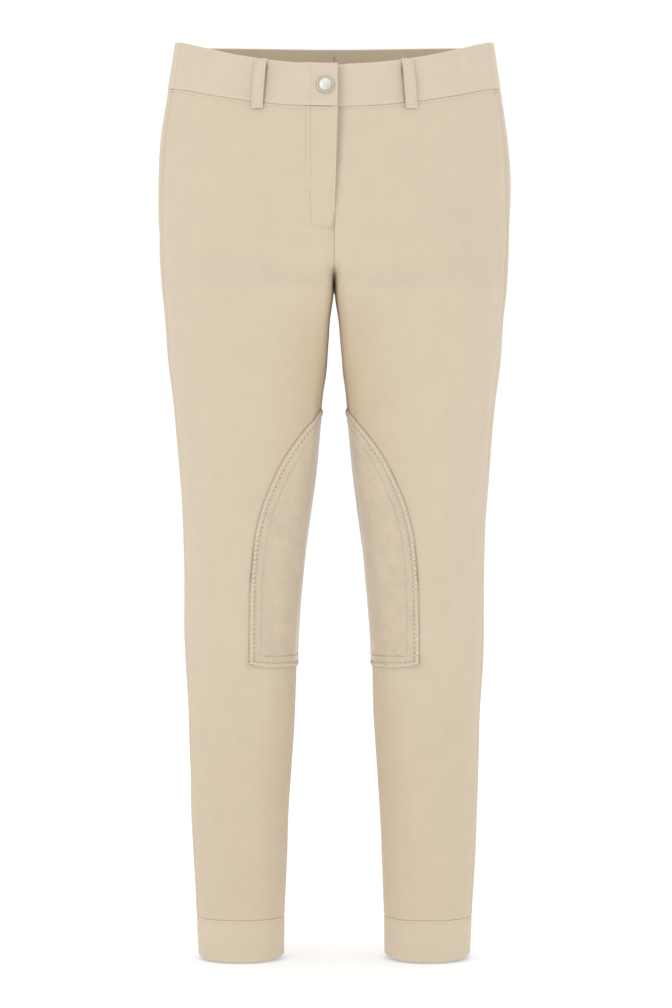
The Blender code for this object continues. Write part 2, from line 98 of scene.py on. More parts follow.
# Level sections of one half. side: widest point from the centre. inner: nearest point of the leg
# to the centre. front and back: how far the section reaches along Y.
SECTION_COLUMNS = ("height", "side", "inner", "front", "back")
SECTIONS = np.array((
    (-890, 135.5, 50.5, -41, 51),
    (-850, 137.3, 50, -41.5, 52),
    (-810, 139.5, 48.5, -43, 56),
    (-730, 143.5, 45, -48, 67),
    (-650, 145.7, 40, -52, 70),
    (-570, 149.4, 37, -60, 66),
    (-490, 150, 30.5, -66, 67),
    (-410, 154, 20.5, -75, 75),
    (-330, 161, 12, -86, 85),
    (-290, 166, 7, -92, 93),
    (-250, 169.2, 4, -97.5, 103),
    (-224, 172.3, 0.6, -101.5, 113),
    (-190, 174.7, 0.6, -106, 126),
    (-150, 176.5, 0.6, -108, 133),
    (-110, 176.5, 0.6, -107, 130),
    (-70, 173.5, 0.6, -103, 119),
    (-30, 167.5, 0.6, -96, 104),
    (0, 163, 0.6, -90.5, 94),
    (40, 156.5, 0.6, -85, 86),
))
TRUNK_POWER = 0.88
LEG_POWER = 0.93
CENTRE_REACH = 0.22
THIGH_TOP = -80.0
THIGH_FULL = -262.0
VALLEY_BLEND = 0.9
SIDE_BLEND = (0.4, 0.8)
PANEL_SIDE_SEAM = math.radians(76.0)
BAND_SIDE_SEAM = math.radians(71.0)
INSEAM = -math.pi / 2

FLY_LAP = 3.4  # 0.7 mm further than in the part
FLY_LAP_POWER = 0.75
UNDERLAP = 20.0
FLY_LIFT = PANEL_WALL + SEAM_GAP + 0.15
BAND_LIFT = BAND_WALL + SEAM_GAP + 0.15
BAND_PROUD = 0.5
BAND_UNDERLAP = 24.0
FLY_SLOPE = (24.0, 34.0)
FLY_FADE = 13.0
UNDERLAP_FADE = 45.0
CUFF_PROUD = 0.2

LOOP_WIDTH = 11.0
LOOP_FRONT_TOP = 70.5
LOOP_FRONT_FOOT = 74.3
LOOP_BACK = 86.0
LOOP_DROP = 6.8
LOOP_TOP_DROP = 0.6
LOOP_CLEAR = 0.4
LOOP_STAND = 2.9
LOOP_ROUNDNESS = 0.6

PATCH_COLUMNS = ("angle", "height")
PATCH_ARCH = np.array((
    (0, -339.5),
    (15, -345),
    (28, -354),
    (41, -366),
    (52, -380),
    (62, -398),
    (70, -419),
    (77, -445),
    (81, -475),
    (83, -510),
))
PATCH_FOOT = -595.0
PATCH_FOOT_SHARE = 0.975
PATCH_CLEAR = 0.35

STUD_FROM_CENTRE = 8.4
STUD_HEIGHT = -29.0
STUD_CLEAR = 0.4

# ======== sizes of the looks

# ---- how fine the cloth is
FINE_STEP = 0.15  # between points at a sewn edge
STEP_GROWTH = 1.2  # each step away from it is this much longer
FLY_STEP = 0.7
PANEL_STEP = 4.0
ROW_STEP = 4.3
BAND_STEP = 2.8
BAND_FLY_STEP = 1.2
PATCH_STEP = 2.6
CUFF_STEP = 3.0
LOOP_STEP = 0.9

# ---- edges and seams
EDGE_ROUND = 0.9  # how far an edge is rounded, 1 would bring both skins together
# Dips: how far the cloth is drawn in, and how wide that is.
SEAM_DIP = (0.5, 1.3)
SIDE_DIP = (1.5, 1.3)  # the side seam pulls a little
CENTRE_DIP = (1.0, 1.1)  # the front's centre seam
ROW_DIP = (0.36, 0.7)  # along a row of topstitching
SIDE_VALLEY = (1.4, 2.0)  # over the hips, beside the side seam
SIDE_VALLEY_PLACE = 8.0
SIDE_VALLEY_FOOT = -330.0
SIDE_VALLEY_REACH = 130.0  # how far up from there it deepens
BAND_END_SHARE = 0.6  # the band turns in less at its side seams
CUFF_END_SHARE = 0.7  # and the cuff at its own
WEAR_WIDTH = 2.2  # rubbed edges are lighter over this

# ---- the fly
TROUGH_DEPTH = 3.3  # the left front sinks beside the fly edge
BAND_TROUGH_DEPTH = 2.9  # and so does the band
TROUGH_MIDDLE = 4.6
TROUGH_WIDTH = 5.8
TROUGH_FOOT = -156.0  # where it has faded out
TROUGH_FADE = 12.0  # over this
TROUGH_FOOT_WIDE = 0.25  # share of its width and of its depth that is left there
TROUGH_FOOT_DEEP = 0.3
FLY_PUFF = 0.9  # the folded edge of the fly stands up
FLY_PUFF_WIDTH = 4.0
PUFF_FADE = 60.0

# ---- the belt loops and the press stud
LOOP_TILT = 0.08  # the side that faces the centre stands out, by this much a mm
LOOP_END_TILT = 0.45  # share of the tilt that is left at the loop's ends
LOOP_CROWN = 0.25  # its middle stands out of its edges
STUD_SEGMENTS = 72  # the part's has 24
STUD_SHARP = 50.0  # edges turning by more degrees stay sharp
GROOVE_DEPTH = 2.8  # the band gives way beside a front loop, on the side facing the centre
GROOVE_FOOT_DEPTH = 0.7  # and less and less down to its foot
GROOVE_WIDTH = 0.9
GROOVE_INSET = 0.5  # its middle, in under the loop
GROOVE_FROM_TOP = (4.0, 9.0)  # where it begins and where it is at its deepest
GROOVE_EASE = 14.0
GROOVE_REACH = 9.0  # the points are this close together from here, before the loop's middle
GROOVE_STEP = 0.35

# ---- the crotch
CREASE_DEPTH = 6.5  # the seam is drawn in between the thighs
CREASE_WIDTH = 1.9
CREASE_TOP = -202.0
CREASE_FOOT = -236.0
CREASE_REACH = 20.0  # how far down it deepens
CREASE_FADE = 12.0  # how far up from its foot
FRONT_BEND = -194.0  # the cloth stays full down to here, and turns in sharply
# How square the inner front of the legs is, as LEG_POWER, at some heights.
FULLNESS = np.array((
    (-700, LEG_POWER),
    (-560, 0.62),
    (-400, 0.42),
    (-330, 0.29),
    (-290, 0.22),
    (-250, 0.17),
    (-200, 0.17),
    (-190, 0.27),
    (-80, 0.60),
))
CLOSE_REACH = 3.5  # the cloth is drawn to the centre seam from this far
JOIN_FADE = 2.0  # and less and less over this at both ends of that seam
CROTCH_BLEND = 20.0  # what holds above the crotch only fades out over this
SHADE_FOOT = -330.0  # the crease's painted shade, darker and warmer, reaches down to here
SHADE_WIDTH = 2.0
INNER_SHADE = 0.38  # painted shade makes the inside of the thighs a little warmer and darker too
INNER_SHADE_WIDTH = 38.0
INNER_SHADE_TOP = -205.0
INNER_SHADE_REACH = 75.0  # how far down it deepens
INNER_SHADE_FOOT = -560.0
LOWER_SHADE = 0.1  # and, faintly, painted shade on the lower legs
LOWER_SHADE_TOP = -540.0
LOWER_SHADE_REACH = 160.0

# ---- folds
# Soft valleys, each with a low ridge on both sides, over one unrolled half of the garment.
# leg: -1 is the right, 1 the left. ring and height: its middle. turn: degrees from level, up
# towards the back. length, width: half sizes in mm. depth: mm. bend: mm of sag at its ends.
FOLDS = (
    # leg, ring, height, turn, length, width, depth, bend
    # front: beside the crotch, then the hip, the knee and the ankle
    (-1, 0.40, -238, 30, 46, 13, 0.12, 5),
    (1, 0.42, -245, 27, 44, 14, 0.14, 6),
    (-1, 0.74, -118, -62, 58, 15, 0.22, 4),
    (1, 0.70, -132, -58, 62, 14, 0.20, -4),
    (-1, 0.55, -505, 7, 46, 12, 0.40, 4),
    (1, 0.50, -522, -6, 50, 13, 0.45, 5),
    (-1, 0.48, -612, -8, 40, 11, 0.50, -4),
    (1, 0.56, -605, 9, 42, 10, 0.45, -3),
    (-1, 0.50, -792, -9, 38, 8, 0.55, 3),
    (1, 0.46, -800, 7, 40, 8, 0.60, 4),
    (-1, 0.60, -818, 6, 34, 6, 0.45, -3),
    (1, 0.55, -822, -5, 32, 6, 0.45, 3),
    # back: under the seat
    (-1, 1.62, -246, -18, 66, 11, 1.50, -9),
    (1, 1.60, -250, -15, 62, 12, 1.60, -8),
    (-1, 1.66, -276, -24, 58, 10, 1.30, -8),
    (1, 1.68, -281, -21, 60, 10, 1.15, -10),
    (-1, 1.72, -312, -29, 50, 10, 0.80, -6),
    (1, 1.70, -318, -26, 48, 11, 0.85, -6),
    # back: behind the knee
    (-1, 1.50, -462, 9, 44, 9, 1.00, 6),
    (1, 1.52, -458, 6, 46, 9, 1.10, 5),
    (-1, 1.54, -488, -5, 54, 8, 1.60, 7),
    (1, 1.50, -486, -8, 50, 8, 1.50, 6),
    (-1, 1.48, -513, 6, 52, 8, 1.55, -5),
    (1, 1.53, -515, 4, 56, 9, 1.70, -6),
    (-1, 1.52, -542, -9, 46, 9, 1.05, -6),
    (1, 1.49, -545, 8, 44, 9, 0.95, -5),
    # back: over the heel
    (-1, 1.50, -786, 8, 36, 7, 0.90, 4),
    (1, 1.52, -780, -7, 38, 8, 0.80, 4),
    (-1, 1.47, -808, -4, 42, 6, 1.00, 4),
    (1, 1.50, -804, 5, 40, 6, 1.05, -3),
    (-1, 1.52, -828, 5, 38, 5, 0.70, -3),
    (1, 1.49, -827, -4, 36, 5, 0.75, 3),
    # side: from the hip, and down the outside of the calf
    (-1, 1.10, -172, -40, 60, 14, 0.60, 5),
    (1, 1.12, -165, -44, 58, 15, 0.55, 5),
    (-1, 1.20, -640, 70, 60, 12, 0.50, 4),
    (1, 1.18, -655, 74, 62, 12, 0.50, -4),
)
FOLD_RIDGE = 1.6  # how soft the ridges beside a valley are
CENTRE_FADE = 75.0  # folds above the crotch end this far from the centre seam
# Slow waves over all of it, so that no large area is perfectly even.
# across, down: mm of one wave. size: mm.
WAVES = (
    # across, down, start, size
    (97, 233, 0.4, 0.22),
    (61, -171, 2.1, 0.16),
    (143, 97, 4, 0.18),
    (47, 401, 5.2, 0.12),
)
# The band and the cuffs have waves of their own: how deep, and how fast they follow one another.
BAND_WAVE = 0.25
BAND_WAVES = (19.0, 14.0, 7.0)
CUFF_WAVE = 0.3
CUFF_WAVES = (3.0, 1.3)
CUFF_WAVE_REACH = 30.0  # how far below the cuff's seam they are at their deepest

# ---- topstitching
STITCH_SIDES = 6
STITCH_ROUND = 3.0  # how far round a stitch is, by its width
# Along a stitch: place from its middle to its end, share of full thickness, share of full height.
STITCH_PROFILE = (
    (-0.50, 0.35, -1.3),
    (-0.40, 0.85, -0.2),
    (-0.15, 1.00, 0.35),
    (0.15, 1.00, 0.35),
    (0.40, 0.85, -0.2),
    (0.50, 0.35, -1.3),
)
# The faces that close a stitch's first and last ring, by their corners.
STITCH_CAPS = (
    (0, ((0, 3, 2, 1), (0, 5, 4, 3))),
    (-1, ((0, 1, 2, 3), (0, 3, 4, 5))),
)
STITCH = {"pitch": 3.0, "length": 2.5, "width": 0.5, "high": 0.36}
FINE_STITCH = {"pitch": 2.6, "length": 2.1, "width": 0.42, "high": 0.32}
LEVEL_STITCH = {"pitch": 4.0, "length": 3.4, "width": 0.42, "high": 0.32}
TACK_STITCH = {"pitch": 0.62, "width": 0.6, "high": 0.5}
BEAD = {"pitch": 4.6, "length": 3.9, "width": 2.9, "high": 1.1}
# The border row's dots and the line at the patch's edge are dark thread: painted shade of needle holes
# and of the edge's shadow.
BORDER_DOTS_PAINTED_SHADE = {"pitch": 4.6, "length": 1.9, "width": 0.75, "high": 0.35}
EDGE_SHADOW_LINE = {"pitch": 2.4, "length": 2.6, "width": 0.6, "high": 0.6}
STITCH_UNEVEN = 0.07  # share by which stitches differ in length
PATH_STEP = 1.5  # between the points of a row's path

ROW_FADE = 10.0  # the cloth is less and less drawn in over this at a row's end
FLY_ROW_FADE = 4.0
BAND_ROW = 3.0  # the row under the band's seam, from the seam
SIDE_ROWS = (1.3, 4.4)  # rows beside the side seam, on the front
SIDE_ROW_INSETS = (2.0, 1.0)  # how far they start below the band and end above the cuff
SIDE_TURN = 0.01  # a short way round the ring, which gives its scale at the side seam
CENTRE_ROWS = (2.3, 4.9)  # rows beside the centre seam, on the right front and on the backs
FLY_ROWS = (22.9, 27.6)  # the fly's two rows, from the centre
FLY_ROW_FEET = (-163.6, -165.0)
FLY_CORNER = 3.0  # how far those rows take to turn towards the centre seam
FLY_DIAGONAL = 0.22  # how far they fall, of the way to the centre
FLY_TICKS = ((-55.0, -86.0), (-132.0, -161.0))  # level stitches between the rows, top and foot
FLY_TICK_PITCH = 2.9
EDGE_ROW_SINK = 0.05  # how far the rows at the fly's and the band's edges sink in
TICK_SINK = 0.1  # and the level stitches
FLY_ROW_INSET = 1.2  # how far below the band's seam the fly's rows start
FLY_TICK_INSET = 0.5
FLY_TACK_SIZE = (1.2, 1.7)  # step across and length of a tack's stitches
LOOP_TACK_SIZE = (3.6, 4.0)
FLY_EDGE_ROW = 2.6  # the row beside the fly edge, from it
FLY_EDGE_ROW_ENDS = (-92.0, -156.0)
FLY_TACKS = ((0.4, -154.5, -159.5), (1.7, -160.5, -170.5))  # from the centre, top, foot
PATCH_BEADS = 2.55  # middle of the patch's flat seam, from its edge
PATCH_BORDER = 5.1
PATCH_INNER_ROW = 12.0
PATCH_FOOT_ROW = 11.6  # a level row, from the foot
PATCH_FOOT_REACH = 66.0  # how far that row runs, in degrees from the inseam
PATCH_FOOT_RISE = 4.0  # how far the foot's corners are drawn up
PATCH_SHADOW_LINE = -0.2  # a line of dark thread just outside the patch's edge, painted shadow under it
PATCH_MM_A_DEGREE = 1.3  # about the leg's, at the knee
LEG_TURN = 0.002  # a short way round the leg, as an angle, which gives its scale
PATCH_DART = ((12.0, -503.0), (65.0, -526.0))  # angle from the inseam and height, its two ends
CUFF_ROW = 2.8
CUFF_ROUND = 300.0  # about how long it is, all round
CUFF_GAP = 0.004  # half the gap at the cuff's seam, as an angle
BAND_TACK_ROW = 22.8  # the fine row beside the press stud, from the centre
BAND_TICKS = (-9.6, -12.2, -14.8, -33.6, -36.4, -39.2, -41.8)  # level stitches beside it
BAND_TICK_LENGTH = 6.0
BAND_TACK_INSET = 1.5
LOOP_ROWS = (-3.6, 3.6)  # from a loop's middle line
LOOP_ROW_END = 0.03  # share of its length that they leave free at each end
LOOP_LEVELS = (0.035, 0.945)  # its two level rows, as shares of its length
LOOP_LEVEL_REACH = 4.3
LOOP_TACK_ENDS = (26.0, 22.5)

# ======== helpers


def smooth_step(share):
    share = np.clip(share, 0.0, 1.0)
    return share * share * (3.0 - 2.0 * share)


def mix(first, second, share):
    return first + (second - first) * share


def bump(distance, width):
    """1 at no distance, falling off softly over about the width."""
    return np.exp(-(distance / width) ** 2)


def unit(vectors):
    return vectors / np.linalg.norm(vectors, axis=-1, keepdims=True)


def smooth_table(table, column, at):
    """The value of a table's column at some heights, on a smooth curve through its rows."""
    heights = table[:, 0]
    values = table[:, column]
    slopes = np.gradient(values, heights)
    at = np.clip(np.asarray(at, float), heights[0], heights[-1])
    low = np.clip(np.searchsorted(heights, at) - 1, 0, len(heights) - 2)
    step = heights[low + 1] - heights[low]
    share = (at - heights[low]) / step
    back = 1.0 - share
    return (
        (1.0 + 2.0 * share) * back ** 2 * values[low]
        + share * back ** 2 * step * slopes[low]
        + share ** 2 * (3.0 - 2.0 * share) * values[low + 1]
        - share ** 2 * back * step * slopes[low + 1]
    )


def section(name, height):
    return smooth_table(SECTIONS, SECTION_COLUMNS.index(name), height)


# ======== the part's surface


def oval_reach(place, power):
    """How far out an oval is, of its half depth, at a place given as a share of its half width."""
    sine = np.minimum(np.abs(place), 1.0) ** (1.0 / power)
    return np.sqrt(1.0 - sine ** 2) ** power


def angle_reach(angle, power):
    """The same by the angle round the oval: 1 at its front, 0 degrees, and -1 at its back, 180."""
    return np.sign(np.cos(angle)) * np.abs(np.cos(angle)) ** power


def depth(reach, height):
    """Y of a section: reach is 1 at its front, 0 in its middle and -1 at its back."""
    near = section("front", height)
    far = section("back", height)
    return mix((near + far) / 2, near, reach)


def trunk_x(angle, height):
    return section("side", height) * np.sin(angle) ** TRUNK_POWER


def leg_x(angle, height):
    place = np.sign(np.sin(angle)) * np.abs(np.sin(angle)) ** LEG_POWER
    return mix(section("inner", height), section("side", height), (place + 1.0) / 2)


def leg_point(angle, height):
    """Round the leg, -90 degrees is its inseam, 0 its front, 90 its side and 180 its back."""
    y = depth(angle_reach(angle, LEG_POWER), height)
    return np.stack(np.broadcast_arrays(leg_x(angle, height), y, height), axis=-1)


def down_rise(height, bend_top):
    """0 at the top of the round bend of the rise, 1 at the crotch and below."""
    above = np.clip((height - CROTCH) / (bend_top - CROTCH), 0.0, 1.0)
    return 1.0 - np.sqrt(1.0 - (1.0 - above) ** 2)


def down_thigh(height):
    """0 where the section is one oval, 1 where it is two legs."""
    return smooth_step((THIGH_TOP - height) / (THIGH_TOP - THIGH_FULL))


def leg_share(ring, height):
    """How far a place round the trunk has moved to its place round the leg."""
    from_end = np.minimum(ring, 2.0 - ring)
    bend_top = mix(FLY_END, BACK_BEND, smooth_step(ring / 2))
    spread = smooth_step(from_end / CENTRE_REACH)
    return mix(down_rise(height, bend_top), down_thigh(height), spread)


def smooth_max(first, second, blend):
    """The larger of two values, rounded off where they are within blend of each other."""
    overlap = np.maximum(blend - np.abs(first - second), 0.0)
    return np.maximum(first, second) + overlap ** 2 / (4.0 * np.maximum(blend, TINY))


def round_angle(ring, start, side_seam, end):
    """The angle of a ring place: start at 0, the side seam's at 1 and end at 2."""
    front = start + ring * (side_seam - start)
    back = side_seam + (ring - 1.0) * (end - side_seam)
    return np.where(ring <= 1.0, front, back)


def body_reach(x, height, half, round_reach):
    """The reach, for depth(), of a place at x in one half; half is 1 for its front and -1 for its back.

    A valley follows the rise between the thighs. Near the side seam it is round_reach.
    """
    side = section("side", height)
    middle = (side + section("inner", height)) / 2
    place = np.clip((x - middle) / (side - middle), -1.0, 1.0)
    trunk = oval_reach(x / side, TRUNK_POWER)
    inner_front = (half > 0.0) & (place < 0.0)
    power = np.where(inner_front, np.interp(height, FULLNESS[:, 0], FULLNESS[:, 1]), LEG_POWER)
    leg = oval_reach(place, power)
    thigh = down_thigh(height)
    rise = down_rise(height, np.where(half > 0.0, FRONT_BEND, BACK_BEND))
    valley = trunk * (1.0 - rise)
    blend = VALLEY_BLEND * rise * (1.0 - rise)
    inner_half = smooth_max(valley, leg * mix(trunk, 1.0, thigh), blend)
    outer_half = mix(trunk, leg, thigh)
    near_side = smooth_step((place - SIDE_BLEND[0]) / (SIDE_BLEND[1] - SIDE_BLEND[0]))
    return mix(np.where(place > 0.0, outer_half, inner_half) * half, round_reach, near_side)


def folded(ring):
    """The same place on the wearer's left half, for a ring past either end."""
    return np.where(ring < 0.0, -ring, np.where(ring > 2.0, 4.0 - ring, ring))


def body_point(ring, height, side_seam=PANEL_SIDE_SEAM):
    """A point of the wearer's left half of the surface.

    ring is 0 at the centre front or the inseam, 1 at the side seam and 2 at the centre back or
    the inseam. Past either end, the point is on the other half.
    """
    ring, height = np.broadcast_arrays(np.asarray(ring, float), np.asarray(height, float))
    crossed = (ring < 0.0) | (ring > 2.0)
    ring = folded(ring)
    trunk_angle = round_angle(ring, 0.0, side_seam, math.pi)
    leg_angle = round_angle(ring, INSEAM, side_seam, 1.5 * math.pi)
    share = leg_share(ring, height)
    x = mix(trunk_x(trunk_angle, height), leg_x(leg_angle, height), share)
    round_reach = mix(angle_reach(trunk_angle, TRUNK_POWER), angle_reach(leg_angle, LEG_POWER), share)
    reach = body_reach(x, height, np.where(ring <= 1.0, 1.0, -1.0), round_reach)
    return np.stack([np.where(crossed, -x, x), depth(reach, height), height], axis=-1)


def outward(ring, height, point_at):
    """The unit normal of a surface given by point_at(ring, height)."""
    along = point_at(ring + RING_STEP, height) - point_at(ring - RING_STEP, height)
    up = point_at(ring, height + HEIGHT_STEP) - point_at(ring, height - HEIGHT_STEP)
    return unit(np.cross(along, up))


def body_outward(ring, height):
    """As outward, but it never looks across the centre seam, where the two halves meet in a fold."""
    inside = np.clip(folded(ring), RING_STEP, 2.0 - RING_STEP)
    normal = outward(inside, height, body_point)
    crossed = (ring < 0.0) | (ring > 2.0)
    normal[..., 0] = np.where(crossed, -normal[..., 0], normal[..., 0])
    return normal


def ring_at(distance, height, side_seam=PANEL_SIDE_SEAM, back=False):
    """Where round the trunk a point is, from its sideways distance to the centre."""
    share = np.clip(np.abs(distance) / section("side", height), 0.0, 1.0)
    angle = np.arcsin(share ** (1.0 / TRUNK_POWER))
    if back:
        return 2.0 - np.sign(distance) * angle / (math.pi - side_seam)
    return np.sign(distance) * angle / side_seam


def band_ring(distance, height, back=False):
    return ring_at(distance, height, BAND_SIDE_SEAM, back)


def leg_ring(angle):
    """The ring place of an angle round the leg, for angles within half a turn of the inseam."""
    before = angle < INSEAM
    front = (angle - INSEAM) / (PANEL_SIDE_SEAM - INSEAM)
    back = 1.0 + (angle + 2 * math.pi - PANEL_SIDE_SEAM) / (1.5 * math.pi - PANEL_SIDE_SEAM)
    return np.where(before, back, front)


def band_point(ring, height):
    return body_point(ring, height, BAND_SIDE_SEAM)


def band_edge(edge, ring, side_seam=BAND_SIDE_SEAM):
    """The height of the band's top edge or seam: level round the back, dipping at the front."""
    angle = round_angle(folded(ring), 0.0, side_seam, math.pi)
    across = np.abs(np.sin(angle)) ** (2 * TRUNK_POWER)
    front = angle < math.pi / 2
    end = np.where(front, edge["front"], edge["back"])
    return mix(end, edge["side"], np.where(front, across, across ** edge["back_power"]))


def front_edge(height, side):
    """How far past the centre a front panel's fly edge is; below the fly it stops at the seam."""
    if side < 0.0:
        upper = np.clip((height - FLY_END) / (BAND_SEAM["front"] - FLY_END), 0.0, 1.0)
        return FLY_LAP * upper ** FLY_LAP_POWER
    return UNDERLAP * np.clip((height - FLY_END) / UNDERLAP_FADE, 0.0, 1.0)


def on_fly(distance):
    """1 over the underlap and 0 past the fly's slope, by the distance to the centre."""
    return smooth_step((FLY_SLOPE[1] - distance) / (FLY_SLOPE[1] - FLY_SLOPE[0]))


def fly_lift(distance, height):
    """How far the right front is held out over the left one's underlap."""
    down = np.clip((height - FLY_END + FLY_FADE) / FLY_FADE, 0.0, 1.0)
    return FLY_LIFT * on_fly(distance) * down


# ======== folds and skins


def folds(ring, height, side):
    """How far the cloth stands out of the part's surface, in mm, because it creases and waves."""
    ring, height = np.broadcast_arrays(np.asarray(ring, float), np.asarray(height, float))
    total = np.zeros(ring.shape)
    for leg, middle, level, turn, length, width, deep, bend in FOLDS:
        if leg != side:
            continue
        around = ((ring - middle + 1.0) % 2.0 - 1.0) * RING_LENGTH
        up = height - level
        cosine, sine = math.cos(math.radians(turn)), math.sin(math.radians(turn))
        along = (around * cosine + up * sine) / length
        across = (up * cosine - around * sine - bend * along ** 2) / width
        total -= deep * (1.0 - across ** 2) * np.exp(-across ** 2 / FOLD_RIDGE - along ** 2)
    for across, down, start, size in WAVES:
        turns = 2 * math.pi * (np.sin(ring * math.pi) * RING_LENGTH / across + height / down)
        total += size * np.sin(turns + start * side)
    from_centre = np.minimum(np.abs(ring), 2.0 - ring) * RING_LENGTH
    above_crotch = smooth_step((height - CROTCH + CROTCH_BLEND) / (2 * CROTCH_BLEND))
    return total * mix(1.0, smooth_step(from_centre / CENTRE_FADE), above_crotch)


def fly_shape(point, height, side):
    """What the fly adds to a front panel: the lift of its upper side, the trough beside its edge."""
    across = point[..., 0]
    if side < 0.0:
        stands = bump(across + FLY_LAP, FLY_PUFF_WIDTH) * (height > FLY_END)
        upper = smooth_step((height - FLY_END) / PUFF_FADE)
        return fly_lift(across, height) + FLY_PUFF * stands * upper
    upper = np.clip((height - TROUGH_FOOT) / (BAND_SEAM["front"] - TROUGH_FOOT), 0.0, 1.0)
    narrow = mix(TROUGH_FOOT_WIDE, 1.0, upper)
    deep = TROUGH_DEPTH * mix(TROUGH_FOOT_DEEP, 1.0, upper)
    deep = deep * smooth_step((height - TROUGH_FOOT) / TROUGH_FADE)
    return -deep * bump(across - TROUGH_MIDDLE * narrow, TROUGH_WIDTH * narrow)


def crotch_crease(point, height):
    """How far back the centre seam is drawn in between the thighs."""
    down = smooth_step((CREASE_TOP - height) / CREASE_REACH)
    down = down * smooth_step((height - CREASE_FOOT) / CREASE_FADE)
    return CREASE_DEPTH * down * bump(point[..., 0], CREASE_WIDTH)


def painted_crease_shade(point, height):
    """How much painted shade, darker and warmer, the cloth's colour takes in the crease between the
    thighs, from 0 to 1.
    """
    down = smooth_step((CREASE_TOP - height) / CREASE_REACH)
    down = down * smooth_step((height - SHADE_FOOT) / (CROTCH - SHADE_FOOT))
    return down * bump(point[..., 0] - section("inner", height), SHADE_WIDTH)


def painted_leg_shade(point, height):
    """The same painted shade on the inside of the thighs and, faintly, all over the lower legs."""
    thigh = smooth_step((INNER_SHADE_TOP - height) / INNER_SHADE_REACH)
    thigh = thigh * smooth_step((height - INNER_SHADE_FOOT) / LOWER_SHADE_REACH)
    near = bump(point[..., 0] - section("inner", height), INNER_SHADE_WIDTH)
    lower = smooth_step((LOWER_SHADE_TOP - height) / LOWER_SHADE_REACH)
    return np.maximum(INNER_SHADE * thigh * near, LOWER_SHADE * lower)


def panel_skin(ring, height, side):
    """Points of a leg panel's outer skin, for the wearer's left half, and the way they face."""
    surface = body_point(ring, height)
    normal = body_outward(ring, height)
    front = ring < 1.0
    stands = folds(ring, height, side) + np.where(front, fly_shape(surface, height, side), 0.0)
    skin = surface + normal * stands[..., None]
    skin[..., 1] += np.where(front, crotch_crease(surface, height), 0.0)
    return skin, normal


def loop_middle(down):
    """How far a front loop's middle line is from the centre, down mm below the band's top."""
    share = down / (BAND_TOP["front"] - BAND_SEAM["front"] + LOOP_DROP)
    return mix(LOOP_FRONT_TOP, LOOP_FRONT_FOOT, share)


def loop_groove(ring, distance, height):
    """How far the band gives way beside a front belt loop."""
    down = band_edge(BAND_TOP, ring) - height
    from_edge = distance - (loop_middle(down) - LOOP_WIDTH / 2 + GROOVE_INSET)
    start, full = GROOVE_FROM_TOP
    deep = mix(GROOVE_DEPTH, GROOVE_FOOT_DEPTH, smooth_step((down - full) / GROOVE_EASE))
    return deep * bump(from_edge, GROOVE_WIDTH) * smooth_step((down - start) / (full - start))


def band_skin(ring, height, side):
    """Points of the waistband's outer skin. The right front is held out over the left one."""
    surface = band_point(ring, height)
    normal = outward(ring, height, band_point)
    distance = surface[..., 0]
    uneven = np.sin(ring * BAND_WAVES[0] + side) * np.sin(height / BAND_WAVES[1] + ring * BAND_WAVES[2])
    lifted = BAND_LIFT * on_fly(distance)
    if side > 0.0:
        lifted = -BAND_TROUGH_DEPTH * bump(distance - TROUGH_MIDDLE, TROUGH_WIDTH)
    added = np.where(ring < 1.0, lifted - loop_groove(ring, distance, height), 0.0)
    stands = BAND_PROUD + BAND_WAVE * uneven + added
    return surface + normal * stands[..., None], normal


def patch_surface(angle, height):
    """The body's surface under a knee patch, by the angle round the leg."""
    return body_point(leg_ring(angle), height)


def patch_skin(angle, height, side):
    """Points of a knee patch's outer skin, and the way they face."""
    surface = patch_surface(angle, height)
    normal = outward(angle, height, patch_surface)
    stands = PATCH_CLEAR + PATCH_WALL + folds(leg_ring(angle), height, side)
    return surface + normal * stands[..., None], normal


def cuff_skin(angle, height, side):
    """The same of an ankle cuff's."""
    surface = leg_point(angle, height)
    normal = outward(angle, height, leg_point)
    below_seam = smooth_step((CUFF_SEAM - height) / CUFF_WAVE_REACH)
    turn = CUFF_WAVES[0] * angle + CUFF_WAVES[1] * side
    stands = CUFF_PROUD + CUFF_WAVE * np.sin(turn) * below_seam
    return surface + normal * stands[..., None], normal


def flipped(points, side):
    """The wearer's left half as it is, or the right half as its mirror image."""
    return points * np.array((side, 1.0, 1.0))


# ======== meshes


def graded(length, coarse, fine_start=True, fine_end=True):
    """Places from 0 to 1 along a length: fine steps at a sewn edge, growing to coarse ones."""
    halves = []
    for fine in (fine_start, fine_end):
        step = FINE_STEP if fine else coarse
        places = [0.0]
        while places[-1] < length / 2:
            places.append(places[-1] + step)
            step = min(step * STEP_GROWTH, coarse)
        halves.append(np.array(places) / places[-1] / 2)
    start, end = halves
    return np.concatenate([start, 1.0 - end[-2::-1]])


def cut_places(grid):
    """How far each point of a grid is along the cloth, from its first column and its first row."""
    across = np.zeros(grid.shape[:2])
    along = np.zeros(grid.shape[:2])
    across[:, 1:] = np.cumsum(np.linalg.norm(np.diff(grid, axis=1), axis=-1), axis=1)
    along[1:] = np.cumsum(np.linalg.norm(np.diff(grid, axis=0), axis=-1), axis=0)
    return across, along


def edge_distances(grid):
    """How far each point is from the first and last column and the first and last row."""
    across, along = cut_places(grid)
    return across, across[:, -1:] - across, along, along[-1:] - along


def dip(distance, depth_and_width):
    """How far cloth is drawn in at some distance from the middle of a dip."""
    return depth_and_width[0] * bump(distance, depth_and_width[1])


def edge_round(distance, half):
    """How far a skin turns in to the middle of its wall near an edge."""
    near = np.clip(1.0 - distance / half, 0.0, 1.0)
    return half * EDGE_ROUND * (1.0 - np.sqrt(1.0 - near ** 2))


def face_area(grid):
    """The area of one skin, in square mm."""
    down = np.diff(grid, axis=0)[:, :-1]
    across = np.diff(grid, axis=1)[:-1]
    return float(np.linalg.norm(np.cross(down, across), axis=-1).sum())


def placed(name, data):
    made = bpy.data.objects.new(name, data)
    bpy.context.collection.objects.link(made)
    return made


